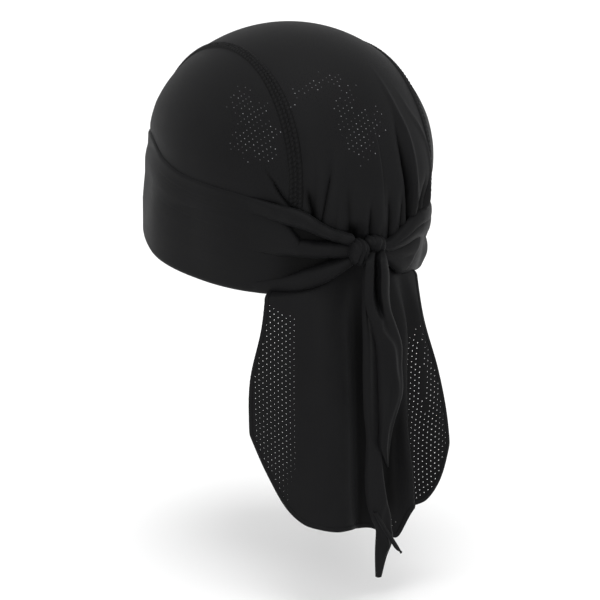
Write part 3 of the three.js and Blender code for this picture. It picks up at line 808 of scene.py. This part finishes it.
# the band and both ties as one sheet, from the knot round the forehead and back to the knot
def makeBand():
    # the columns are closer over the ties than over the forehead
    leftPart = np.linspace(band["leftEnd"], 60, 150)[:-1]
    frontPart = np.linspace(60, 300, 130)[:-1]
    rightPart = np.linspace(300, 360 - band["rightEnd"], 170)
    degrees = np.concatenate([leftPart, frontPart, rightPart])
    turn = np.radians(degrees)[None, :]
    v = np.linspace(0, 1, 110)[:, None]
    v = v - 0.03 * np.sin(2 * np.pi * v)  # closer rows along both edges
    low, high = bandEdge(turn, "lower"), bandEdge(turn, "upper")
    tall = high - low
    height = low + tall * v
    d = np.where(degrees > 180, degrees - 360, degrees)[None, :]
    lift, shade = tieFolds(d, v)
    lip = np.clip(1 - np.minimum(v, 1 - v) * tall / band["lip"], 0, 1)
    rounded = band["lipDrop"] * (1 - np.sqrt(np.clip(1 - lip**2, 0, 1)))
    slack = band["slack"] * np.sin(d * 0.21 + 3 * v) * smooth((np.abs(d) - 40) / 20) * np.sin(np.pi * v)
    # away from the ties the top edge lies closer to the crown and is thinner
    snug = smooth((v - 0.72) / 0.28) * smooth((np.abs(d) - 36) / 18)
    points = onHead(turn, height, band["stand"] + lift + slack - rounded - band["snugDrop"] * snug)
    values = {"foldShade": shade + 0 * points[..., 0]}
    thick = band["cloth"] - band["snugThin"] * snug
    return gridCloth("wrapBand", points, thick, bandCloth, None, values), points


wrapBand, bandPoints = makeBand()
print("band and ties made")

knot = {
    # each turn of cloth: middle, half sizes, lean sideways per height, folds across its width
    "turns": [
        ((15.4, 103.0, 12.2), (5.2, 6.2, 6.3), -0.06, 2.0),
        ((5.0, 102.5, 15.4), (6.0, 4.6, 4.2), 0.1, 1.6),
    ],
    "foldDepth": 0.085,
}


# a turn of the knot: a barrel lying along X, its ends rounded in, with shallow folds running over it
def makeKnotTurn(name, middle, half, lean, folds):
    s = np.linspace(-1, 1, 49)[:, None]
    a = np.linspace(0, 2 * np.pi, 73)[None, :]
    ends = np.clip(1 - np.abs(s) ** 2.6, 0, 1) ** (1 / 2.2)
    wave = np.cos(2 * np.pi * folds * s + 1.9 * np.sin(a) + 0.9 * np.sin(2 * a) + 0.5)
    ridge = 1 + knot["foldDepth"] * wave * (1 - s**4)
    pinch = 1 - 0.08 * np.cos(2 * a) - 0.05 * np.cos(4 * a + 1.2)
    radius = ends * ridge * pinch
    z = half[2] * radius * np.sin(a)
    x = half[0] * (s + 0.12 * np.sin(a) * (1 - s**2)) + lean * z + 0 * a
    y = half[1] * radius * np.cos(a)
    points = np.stack([x, y, z], -1) + np.array(middle)
    flatMap = gridMap(points).reshape(-1, 2)
    obj = makeMesh(name, points.reshape(-1, 3), [gridQuads(*points.shape[:2])], bandCloth, flatMap)
    weld(obj)
    return obj


knotTurns = [makeKnotTurn(f"knotTurn{i}", *turn) for i, turn in enumerate(knot["turns"])]
print("knot made")

# the hanging ends of the ties. Each row: height, its edge on the wearer's left and on the right,
# how far back it hangs at each edge, its hollow's depth, and its ridge's share of the width and height
shortTailShape = {
    "cloth": 1.0, "leftCurl": 2.4, "rightCurl": 1.3,
    "rows": [
        (12.5, 8.8, -0.2, 104.2, 104.2, 1.8, 0.80, 0.8), (9.4, 14.0, 2.4, 110.8, 110.8, 7.5, 0.80, 1.0),
        (3.0, 15.8, 2.0, 112.6, 112.6, 9.5, 0.80, 1.0), (-12.5, 16.3, 1.7, 113.2, 113.2, 8.0, 0.80, 1.0),
        (-18.5, 15.5, 1.0, 113.8, 113.8, 2.8, 0.75, 0.2),
        (-26.0, 12.9, -1.8, 114.0, 114.0, 0.8, 0.30, 1.2),
        (-37.0, 10.0, -5.5, 114.0, 114.5, 0.0, 0.50, 2.0),
        (-50.0, 8.7, -5.9, 113.6, 114.5, 0.0, 0.60, 2.2), (-63.0, 8.3, -6.7, 114.2, 114.5, 0.6, 0.70, 1.0),
        (-83.0, 7.5, -0.7, 114.0, 114.0, 0.0, 0.50, 0.9), (-93.0, 7.2, 0.5, 113.2, 113.0, 0.0, 0.50, 1.0),
        (-104.5, 2.2, 1.4, 112.3, 112.3, 0.0, 0.50, 0.2),
    ],
}
longTailShape = {
    "cloth": 1.0, "leftCurl": 2.2, "rightCurl": 0.9,
    "rows": [
        (13.0, 11.6, 7.9, 104.0, 103.0, 0, 0.40, 0.3), (-5.0, 14.9, 9.3, 108.0, 106.5, 0, 0.25, 0.5),
        (-18.0, 16.0, 8.6, 109.5, 107.5, 0, 0.25, 0.6), (-34.0, 16.2, 4.3, 110.8, 107.8, 0, 0.25, 0.6),
        (-56.0, 16.3, 3.4, 111.3, 108.3, 0, 0.25, 0.6), (-72.0, 15.7, 2.9, 111.5, 108.7, 0, 0.25, 0.4),
        (-89.0, 14.1, 3.4, 111.5, 110.3, 0, 0.30, 0.2), (-97.0, 14.3, 4.9, 111.6, 112.0, 0, 0.70, 0.3),
        (-110.0, 14.8, 4.4, 111.8, 113.2, 0, 0.80, 0.4), (-123.5, 13.8, 2.3, 112.4, 113.8, 0, 0.80, 0.5),
        (-133.0, 10.8, -0.1, 112.8, 114.0, 0, 0.35, 0.9), (-139.0, 8.3, -0.8, 112.8, 113.5, 0, 0.35, 2.0),
        (-145.0, 8.1, -1.9, 112.5, 113.4, 0, 0.50, 2.6), (-149.0, 8.1, -0.9, 112.2, 113.2, 0, 0.66, 2.2),
        (-154.0, 8.0, 0.8, 112.0, 112.3, 0, 0.66, 0.5), (-166.5, 7.4, 4.3, 111.7, 111.5, 0, 0.50, 0.1),
    ],
}
# the hem's loose end at the long tail's tip
hemEndShape = {
    "cloth": 1.0, "leftCurl": 0.7, "rightCurl": 0.4,
    "rows": [
        (-128.0, 12.0, 9.6, 114.8, 114.8, 0, 0.5, 0.3), (-135.5, 8.4, 5.8, 116.4, 116.4, 0, 0.5, 0.3),
        (-144.5, 3.0, 0.1, 117.6, 117.6, 0, 0.5, 0.3), (-151.0, -1.9, -3.8, 117.7, 117.7, 0, 0.5, 0.2),
        (-152.6, -4.3, -4.8, 117.2, 117.2, 0, 0.5, 0.0),
    ],
}
tailFolds = {
    # the sideways laps beside a hollow of the depth "lapDepth": place across the strip, width, distance
    "lapDepth": 9.5, "laps": [(0.77, 0.13, 2.5), (0.5, 0.09, -4.3)],
    # widths of the hollow, the ridge and the curled edges, as shares of the strip's
    "hollowWidth": 0.12, "ridgeWidth": 0.15, "leftCurlWidth": 0.15, "rightCurlWidth": 0.14,
}


# a hanging strip: straight between its edges, which curl in, plus a ridge,
# less a hollow whose lips close over it
def makeTail(name, shape):
    rows = np.array(shape["rows"], float)[::-1]
    z = np.linspace(rows[-1, 0], rows[0, 0], 215)
    columns = through(rows[:, 0], rows[:, 1:], z).T[..., None]
    left, right, backLeft, backRight, hollow, place, ridge = columns
    u = np.linspace(0, 1, 80)[None, :]
    laps = sum(far * bell(u - at, wide) for at, wide, far in tailFolds["laps"])
    lap = hollow / tailFolds["lapDepth"] * laps
    curl = shape["leftCurl"] * np.clip(1 - u / tailFolds["leftCurlWidth"], 0, 1) ** 2
    fromRight = 1 - tailFolds["rightCurlWidth"]
    curl = curl + shape["rightCurl"] * np.clip((u - fromRight) / tailFolds["rightCurlWidth"], 0, 1) ** 2
    x = left + (right - left) * u + lap
    back = backLeft + (backRight - backLeft) * u
    y = back + ridge * bell(u - place, tailFolds["ridgeWidth"])
    y = y - hollow * bell(u - 0.5, tailFolds["hollowWidth"]) - curl
    points = np.stack(np.broadcast_arrays(x, y, z[:, None]), -1)
    if gridNormals(points)[..., 1].mean() < 0:
        points = points[:, ::-1]
    return gridCloth(name, points, shape["cloth"], bandCloth)


shortTail = makeTail("shortTail", shortTailShape)
longTail = makeTail("longTail", longTailShape)
hemEnd = makeTail("hemEnd", hemEndShape)
print("tails made")

flap = {
    # its drape, one line down the cloth in each row, from the wearer's left edge to the right one:
    # (side, back) at each level, then the hem's height
    "levels": [0, -30, -60, -90, -120, -152],
    "drape": [
        ((52.5, 71.0), (55.3, 70.0), (60.4, 66.0), (60.0, 64.5), (58.0, 65.0), (57.0, 66.0), -90),
        ((46.0, 75.5), (51.0, 76.0), (55.2, 74.0), (55.7, 73.0), (54.5, 73.5), (53.5, 75.0), -109),
        ((39.5, 80.0), (46.0, 84.0), (49.2, 84.0), (50.0, 83.0), (49.5, 83.0), (49.0, 84.0), -126),
        ((33.0, 84.0), (40.5, 91.0), (43.0, 92.5), (43.5, 92.0), (43.5, 92.0), (43.0, 93.0), -135),
        ((27.5, 86.5), (34.5, 96.0), (36.5, 99.0), (36.5, 99.5), (36.5, 100.0), (36.0, 101.0), -137.5),
        ((21.5, 88.5), (27.5, 97.5), (28.5, 101.0), (28.5, 102.0), (28.0, 103.0), (27.5, 104.0), -139.3),
        ((16.0, 90.0), (19.5, 96.0), (20.0, 99.5), (20.0, 101.0), (19.5, 102.0), (19.0, 103.5), -139.8),
        ((11.0, 91.0), (12.0, 91.0), (11.5, 92.0), (11.0, 93.0), (10.5, 94.0), (10.0, 95.0), -143.0),
        ((5.5, 91.5), (5.0, 92.0), (4.0, 93.5), (3.5, 95.0), (3.0, 96.0), (2.5, 97.0), -143.4),
        ((0.0, 91.7), (-2.0, 95.0), (-4.0, 97.0), (-5.0, 96.0), (-5.5, 95.5), (-6.0, 98.0), -148),
        ((-5.5, 91.5), (-9.5, 96.5), (-12.0, 98.5), (-13.0, 94.5), (-14.0, 94.5), (-14.0, 99.5), -150.5),
        ((-11.5, 90.5), (-18.0, 97.0), (-18.0, 98.8), (-18.5, 99.5), (-21.5, 101.0), (-22.5, 101.5), -136),
        ((-17.5, 89.0), (-21.5, 91.5), (-22.0, 92.3), (-23.0, 92.8), (-26.0, 94.3), (-27.0, 95.0), -136.5),
        ((-23.5, 86.5), (-28.5, 93.0), (-31.0, 95.5), (-33.0, 96.0), (-34.0, 97.0), (-34.0, 98.0), -133),
        ((-29.5, 83.5), (-31.0, 92.8), (-36.2, 95.9), (-40.5, 97.5), (-41.5, 99.0), (-41.0, 99.5), -122),
        ((-34.5, 80.5), (-33.5, 91.2), (-41.2, 95.7), (-47.5, 96.5), (-48.5, 99.0), (-47.5, 100.0), -103),
    ],
    "cloth": 0.45, "columnPitch": 2.35, "holePitch": 3.0, "dimple": 0.22,
    # radius of the holes on the left and on the right, and how much larger the right part's outer ones are
    "hole": 0.305, "rightHole": 0.28, "outerMore": 0.2,
    # the hem: width, the share taken off it up the right side, and the side where that starts
    "hemWidth": 2.5, "hemTaper": 0.18, "taperFrom": 74, "hemProud": 0.4,
    # the hem's stitched line: place across it, width, depth, pitch
    "hemStitch": (0.78, 0.09, 0.12, 2.7),
    # points across its first table, steps of its map and of its outline
    "across": 700, "fine": 0.5, "outlineStep": 0.9,
    # the height of its hidden top, how far inside the head's form that lies, and how far
    # below the band's edge the band starts to hold it, and over what height
    "top": 18.0, "inside": -0.15, "heldFrom": 3, "heldSpan": 6.0,
    # the painted shade of its two hollows, beside the tails and below the short one, and the dark of the
    # right part's foot
    "besideTails": 0.55, "belowShort": 0.9, "rightFoot": 0.4,
    # the map's side is 0 at this share of the width, on the big fold's ridge
    "anchor": 4 / 15,
    # lines that bound the holes, as (height, side) points, for the wearer's left and right part
    "leftZone": [
        (-8, 60.0), (-19, 50.0), (-22, 44.5), (-25, 43.3), (-29, 43.2), (-33, 43.6), (-42, 44.2),
        (-50, 44.9), (-60, 45.2), (-90, 45.3), (-105, 45.6), (-113, 47.0), (-125, 47.6), (-135, 48.4),
        (-150, 52),
    ],
    "rightZone": [
        (-8, -60.0), (-24, -40.0), (-36, -26.0), (-41, -24.0), (-46, -21.0), (-60, -21.5), (-90, -22.0),
        (-120, -22.0), (-150, -20),
    ],
    # small open patches by the hem, as (side, height, radius)
    "hemPatches": [(-10.5, -142.5, 3.4), (14, -140.5, 3.6), (18.5, -140.6, 2.6), (9.6, -140, 2.6)],
    # the closed ridge of the right part's fold, as (depth, side) points, its half width and its foot
    "ridge": [(30, -28.5), (60, -31), (85, -33), (95, -33.5)], "ridgeHalf": 1.1, "ridgeFoot": -84,
}


# the flap over a map in millimetres: side along the cloth from the big fold's ridge, and height
def makeFlapSurface():
    net = np.array([c[:-1] for c in flap["drape"]], float)
    count = len(net)
    share = np.linspace(0, 1, count)
    z = np.arange(flap["top"], flap["levels"][-1] - 0.1, -flap["fine"])
    levels = np.array(flap["levels"][::-1], float)
    byHeight = through(levels, np.moveaxis(net, 1, 0)[::-1].reshape(len(levels), -1), z)
    byShare = np.moveaxis(byHeight.reshape(len(z), count, 2), 1, 0).reshape(count, -1)
    u = np.linspace(0, 1, flap["across"])
    grid = np.moveaxis(through(share, byShare, u).reshape(len(u), len(z), 2), 0, 1)
    # inside the band the flap lies on the head
    turn = turnOf(grid)
    height = np.broadcast_to(z[:, None], grid.shape[:2])
    below = height - bandEdge(turn, "lower") + flap["heldFrom"]
    held = smooth(below / flap["heldSpan"])[..., None]
    grid = grid * (1 - held) + onHead(turn, height, flap["inside"])[..., :2] * held
    lengths = runAlong(grid, 1)
    anchor = np.argmin(np.abs(u - flap["anchor"]))
    lengths = lengths - lengths[:, anchor : anchor + 1]
    hem = through(share, np.array([c[-1] for c in flap["drape"]], float), u)
    # the same surface with even steps along the cloth
    first = lengths[:, 0].min()
    steps = np.arange(first, lengths[:, -1].max() + 1, flap["fine"])
    even = np.array([[np.interp(steps, run, row[:, c]) for c in (0, 1)] for run, row in zip(lengths, grid)])
    return {"z": z, "first": first, "even": np.moveaxis(even, 1, 2), "along": lengths, "hem": hem}


surface = makeFlapSurface()


# side along the cloth and height to a point in space, from the four nearest points of the even table
def onFlap(along, height):
    table = surface["even"]
    row = np.clip((flap["top"] - height) / flap["fine"], 0, len(table) - 1.001)
    column = np.clip((along - surface["first"]) / flap["fine"], 0, table.shape[1] - 1.001)
    i, j = row.astype(int), column.astype(int)
    down, across = (row - i)[..., None], (column - j)[..., None]
    upper = table[i, j] * (1 - across) + table[i, j + 1] * across
    lower = table[i + 1, j] * (1 - across) + table[i + 1, j + 1] * across
    return np.concatenate([upper * (1 - down) + lower * down, height[..., None]], -1)


# outward normals of the flap, from small steps along its map
def flapNormals(along, height):
    step = 0.6
    a = onFlap(along + step, height) - onFlap(along - step, height)
    b = onFlap(along, height + step) - onFlap(along, height - step)
    n = np.cross(b, a)
    return n / np.maximum(np.linalg.norm(n, axis=-1, keepdims=True), 1e-9)


# the flap's outline on its map, down the left side, along the hem and up the right side, in even steps,
# with its inward direction and the hem's width, which is less on the right
def flapOutline():
    z, along, hem = surface["z"], surface["along"], surface["hem"]
    left, right = along[:, 0], along[:, -1]
    leftZ = z[z >= hem[0]]
    rightZ = z[z >= hem[-1]]
    leftSide = np.stack([left[: len(leftZ)], leftZ], -1)
    rightSide = np.stack([right[: len(rightZ)], rightZ], -1)[::-1]
    rows = np.clip(np.round((z[0] - hem) / flap["fine"]).astype(int), 0, len(z) - 1)
    bottom = np.stack([along[rows, np.arange(len(hem))], hem], -1)
    line = np.concatenate([leftSide, bottom, rightSide])
    for _ in range(3):
        line[3:-3] = sum(line[i : len(line) - 6 + i] for i in range(7)) / 7
    run = runAlong(line)
    even = np.linspace(0, run[-1], int(run[-1] / flap["outlineStep"]))
    line = np.stack([np.interp(even, run, line[:, c]) for c in (0, 1)], -1)
    line = line[line[:, 1] < -5]  # the rest is hidden by the band
    step = np.gradient(line, axis=0)
    inward = np.stack([-step[:, 1], step[:, 0]], -1)
    inward /= np.maximum(np.linalg.norm(inward, axis=1, keepdims=True), 1e-9)
    middle = np.array([(left[0] + right[0]) / 2, -60])
    if ((middle - line) * inward).sum() < 0:
        inward = -inward
    wide = flap["hemWidth"] * (1 - flap["hemTaper"] * smooth((line[:, 0] - flap["taperFrom"]) / 8))
    return line, inward, wide[:, None]


# whether points lie inside a closed outline: a level line from each crosses it an odd number of times
def insideOutline(points, outline):
    after = np.roll(outline, -1, 0)
    crossing = (outline[:, 1] > points[:, None, 1]) != (after[:, 1] > points[:, None, 1])
    rise = after[:, 1] - outline[:, 1]
    rise = np.where(np.abs(rise) < 1e-9, 1e-9, rise)
    at = outline[:, 0] + (points[:, None, 1] - outline[:, 1]) / rise * (after[:, 0] - outline[:, 0])
    return (np.sum(crossing & (points[:, None, 0] < at), 1) % 2).astype(bool)


# the middles of the flap's cells, a staggered lattice inside its outline and below the band's hem
def flapCells(line, inward):
    a, p = flap["columnPitch"], flap["holePitch"]
    low, high = line.min(0), line.max(0)
    columns = np.arange(int(low[0] / a) - 2, int(high[0] / a) + 3)
    rows = np.arange(int(low[1] / p) - 2, int(high[1] / p) + 3)
    i, j = np.meshgrid(columns, rows)
    centres = np.stack([i * a, (j + 0.5 * (i % 2)) * p], -1).reshape(-1, 2).astype(float)
    edge = line + inward * 0.5
    edge = np.concatenate([edge, [[edge[-1, 0], flap["top"]], [edge[0, 0], flap["top"]]]])
    space = onFlap(centres[:, 0], centres[:, 1])
    lower = bandEdge(turnOf(space), "lower")
    kept = insideOutline(centres, edge) & (centres[:, 1] < lower + crown["hem"] + 1.5)
    return centres[kept], space[kept]


# which cells are open, and the radius of each one's hole or dimple: the holes are smaller
# near the edge of their zone, and in the right part up to its outer third
def flapHoles(centres, space, line, hemWide):
    apart = np.linalg.norm(centres[:, None] - line[None, ::3], axis=-1)
    clear = np.min(apart, 1) - hemWide[::3, 0][np.argmin(apart, 1)]
    leftLimit, rightLimit = (zoneLimit(flap[zone], centres[:, 1]) for zone in ("leftZone", "rightZone"))
    depthIn = np.maximum(space[:, 0] - leftLimit, rightLimit - space[:, 0])
    fromRidge = np.abs(space[:, 0] - readTable(flap["ridge"], -space[:, 2]))
    ridge = (fromRidge < flap["ridgeHalf"]) & (space[:, 2] > flap["ridgeFoot"])
    for side, height, reach in flap["hemPatches"]:
        depthIn = np.maximum(depthIn, reach - np.hypot(space[:, 0] - side, space[:, 2] - height))
    isOpen = (depthIn > 0) & (clear > 0.25) & ~ridge
    outer = 1 + flap["outerMore"] * smooth((-space[:, 0] - 31) / 8)
    size = np.where(space[:, 0] > 0, flap["hole"], flap["rightHole"] * outer)
    return isOpen, size * np.where(isOpen, 0.66 + 0.34 * smooth(depthIn / 5), 1.0)


# a zone's limit at each height, from its (height, side) points
def zoneLimit(zone, height):
    heights, sides = np.array(zone, float).T
    return np.interp(-height, -heights, sides)


# the net of holes: hexagonal cells round the points of a staggered lattice, each with a six-sided
# hole or a dimple
def makeFlap():
    line, inward, hemWide = flapOutline()
    centres, space = flapCells(line, inward)
    isOpen, radius = flapHoles(centres, space, line, hemWide)
    a, p = flap["columnPitch"] / 3, flap["holePitch"] / 2
    corner = np.array([(a, p), (2 * a, 0), (a, -p), (-a, -p), (-2 * a, 0), (-a, p)])
    angle = np.arctan2(corner[:, 1], corner[:, 0])
    ring = np.stack([np.cos(angle), np.sin(angle)], -1)
    # neighbouring cells share their corners
    cellCorners = (centres[:, None] + corner[None]).reshape(-1, 2)
    keys, index = np.unique(np.round(cellCorners / 0.05).astype(int), axis=0, return_inverse=True)
    shared = np.zeros((len(keys), 2))
    shared[index.ravel()] = cellCorners
    outer = index.reshape(-1, 6)
    rims = (centres[:, None] + ring[None] * radius[:, None, None]).reshape(-1, 2)
    inner = len(shared) + np.arange(len(rims)).reshape(-1, 6)
    flat = np.concatenate([shared, rims])
    # corners past the outline are drawn back to 0.3 mm inside it, under the hem
    nearest = np.argmin(np.linalg.norm(flat[:, None] - line[None], axis=-1), 1)
    past = 0.3 - ((flat - line[nearest]) * inward[nearest]).sum(1)
    past = np.where((flat[:, 1] < line[0, 1]) & (past < 4), np.maximum(past, 0), 0)
    flat = flat + inward[nearest] * past[:, None]
    points = onFlap(flat[:, 0], flat[:, 1])
    normals = flapNormals(flat[:, 0], flat[:, 1])
    sink = np.zeros(len(flat))
    sink[inner[~isOpen].ravel()] = flap["dimple"]
    points = points - normals * sink[:, None]
    quads = np.stack([outer, np.roll(outer, -1, 1), np.roll(inner, -1, 1), inner], -1).reshape(-1, 4)
    caps = inner[~isOpen]
    if not facesOut(quads, points, normals):
        quads, caps = quads[:, ::-1], caps[:, ::-1]
    # painted shade in two hollows, beside the tails and below the short one; the right part's foot is darker
    # too
    side, up = points[:, 0], points[:, 2]
    besideTails = flap["besideTails"] * bell(side - 8.5, 3.5) * smooth((-up - 8) / 30)
    belowShort = flap["belowShort"] * bell(side + 9, 6) * smooth((-up - 78) / 14) * smooth((142 + up) / 14)
    rightFoot = flap["rightFoot"] * smooth((-side - 27) / 6) * smooth((-up - 60) / 30)
    shade = np.maximum(np.maximum(besideTails, belowShort), rightFoot)
    print("flap holes:", int(isOpen.sum()), "dimples:", int((~isOpen).sum()))
    thick = flap["cloth"] - sink
    return makeCloth("neckFlap", points, normals, [quads, caps], thick, flapCloth, flat, {"foldShade": shade})


# the hem: a strip along the outline, thicker than the cloth and rounded at its edge, with a stitched line
def makeHem():
    line, inward, hemWide = flapOutline()
    w = np.linspace(0, 1, 11)
    flat = line[:, None] + inward[:, None] * (w[None] * hemWide)[..., None]
    points = onFlap(flat[..., 0], flat[..., 1])
    normals = flapNormals(flat[..., 0], flat[..., 1])
    place, wide, deep, pitch = flap["hemStitch"]
    stitch = bell(w[None] - place, wide) * (0.5 - 0.5 * np.cos(2 * np.pi * runAlong(line)[:, None] / pitch))
    proud = flap["hemProud"] * np.sqrt(np.clip(1 - np.abs(2 * w - 1) ** 4, 0, 1))[None] - deep * stitch
    points = (points + normals * proud[..., None]).reshape(-1, 3)
    normals = normals.reshape(-1, 3)
    quads = gridQuads(*proud.shape)
    if not facesOut(quads, points, normals):
        quads = quads[:, ::-1]
    thick = (flap["cloth"] + 2 * proud).reshape(-1)
    return makeCloth("flapHem", points, normals, [quads], thick, flapCloth, flat.reshape(-1, 2), {})


neckFlap = makeFlap()
flapHem = makeHem()
print("flap made")

threads = {
    "pitch": 2.6, "length": 1.6, "radius": 0.2, "lift": 0.08, "inFromEdge": 3.2, "secondRow": 2.4,
    # columns of the band's grid left free of stitches beside the knot
    "free": 30,
    # each thread's outline: share of its length, share of its radius
    "outline": [(0, 0.15), (0.15, 0.75), (0.5, 1.0), (0.85, 0.75), (1.0, 0.15)],
}


# many short threads: each a six-sided spindle along its own direction, lying on the cloth
def makeThreads(name, starts, ends, normals):
    s, r = np.array(threads["outline"]).T
    k = np.arange(6)
    a = k / 6 * 2 * np.pi
    count, rings = len(starts), len(s)
    along = ends - starts
    length = np.linalg.norm(along, axis=1, keepdims=True)
    aside = np.cross(along / np.maximum(length, 1e-9), normals)
    centre = starts[:, None] + along[:, None] * s[None, :, None]
    cosine, sine = np.cos(a)[None, None, :, None], np.sin(a)[None, None, :, None]
    around = cosine * normals[:, None, None] + sine * aside[:, None, None]
    points = centre[:, :, None] + around * (r * threads["radius"])[None, :, None, None]
    base = (np.arange(count) * rings * 6)[:, None, None]
    after = (k + 1) % 6
    ringQuads = [[j * 6 + k, j * 6 + after, (j + 1) * 6 + after, (j + 1) * 6 + k] for j in range(rings - 1)]
    quads = (base + np.stack(ringQuads).transpose(0, 2, 1).reshape(1, -1, 4)).reshape(-1, 4)
    firstCap, lastCap = k[::-1][None], (rings - 1) * 6 + k[None]
    caps = np.concatenate([base[:, 0] + firstCap, base[:, 0] + lastCap])
    # each thread has its own place on the map
    spread = np.repeat(np.arange(count), rings * 6) * 0.37
    flatMap = np.stack([spread, np.tile(np.repeat(s, 6), count)], -1)
    obj = makeMesh(name, points.reshape(-1, 3), [quads, caps], coverThread, flatMap)
    weld(obj)
    return obj


# a row of stitches a set distance in from the top or bottom edge of a grid of points
def edgeStitches(name, points, fromTop, inset):
    down = runAlong(points)
    normals = gridNormals(points)
    c = np.arange(points.shape[1])
    want = down[-1] - inset if fromTop else np.full(len(c), inset)
    row = np.array([np.interp(want[k], down[:, k], np.arange(len(down))) for k in c])
    i = np.clip(row.astype(int), 0, len(points) - 2)
    f = (row - i)[:, None]
    path = points[i, c] * (1 - f) + points[i + 1, c] * f
    inside = slice(threads["free"], len(c) - threads["free"])
    path, normals = path[inside], normals[i, c][inside]
    run = runAlong(path)
    at = np.arange(2, run[-1] - 2, threads["pitch"])
    starts, n = pickAlong(at, run, path), pickAlong(at, run, normals)
    n /= np.linalg.norm(n, axis=1, keepdims=True)
    ends = pickAlong(at + threads["length"], run, path)
    lift = n * threads["lift"]
    return makeThreads(name, starts + lift, ends + lift, n)


# a path's table read at lengths along it
def pickAlong(at, run, table):
    return np.stack([np.interp(at, run, table[:, k]) for k in range(3)], -1)


secondInset = threads["inFromEdge"] + threads["secondRow"]
stitchRows = [
    edgeStitches("topStitches", bandPoints, True, threads["inFromEdge"]),
    edgeStitches("topStitchesLow", bandPoints, True, secondInset),
    edgeStitches("rimStitches", bandPoints, False, threads["inFromEdge"]),
]
print("stitches made")

# the node that each piece stands for, and its finish
nodeOf = {
    crownCentre: ("crown_centre_panel", "knit"),
    crownLeft: ("crown_left_panel", "knit"), crownRight: ("crown_right_panel", "knit"),
    seamLeft: ("crown_left_seam", "stitching"), seamRight: ("crown_right_seam", "stitching"),
    **{turn: ("knot", "band_knit") for turn in knotTurns},
    shortTail: ("short_tail", "band_knit"),
    longTail: ("long_tail", "band_knit"), hemEnd: ("long_tail", "band_knit"),
    neckFlap: ("neck_flap", "mesh_knit"), flapHem: ("neck_flap", "mesh_knit"),
}
for piece, (node, slot) in nodeOf.items():
    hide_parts(node)
    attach(piece, "root")
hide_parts("headband", "left_tie", "right_tie")
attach(wrapBand, "root")
for piece in stitchRows:
    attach(piece, "root")
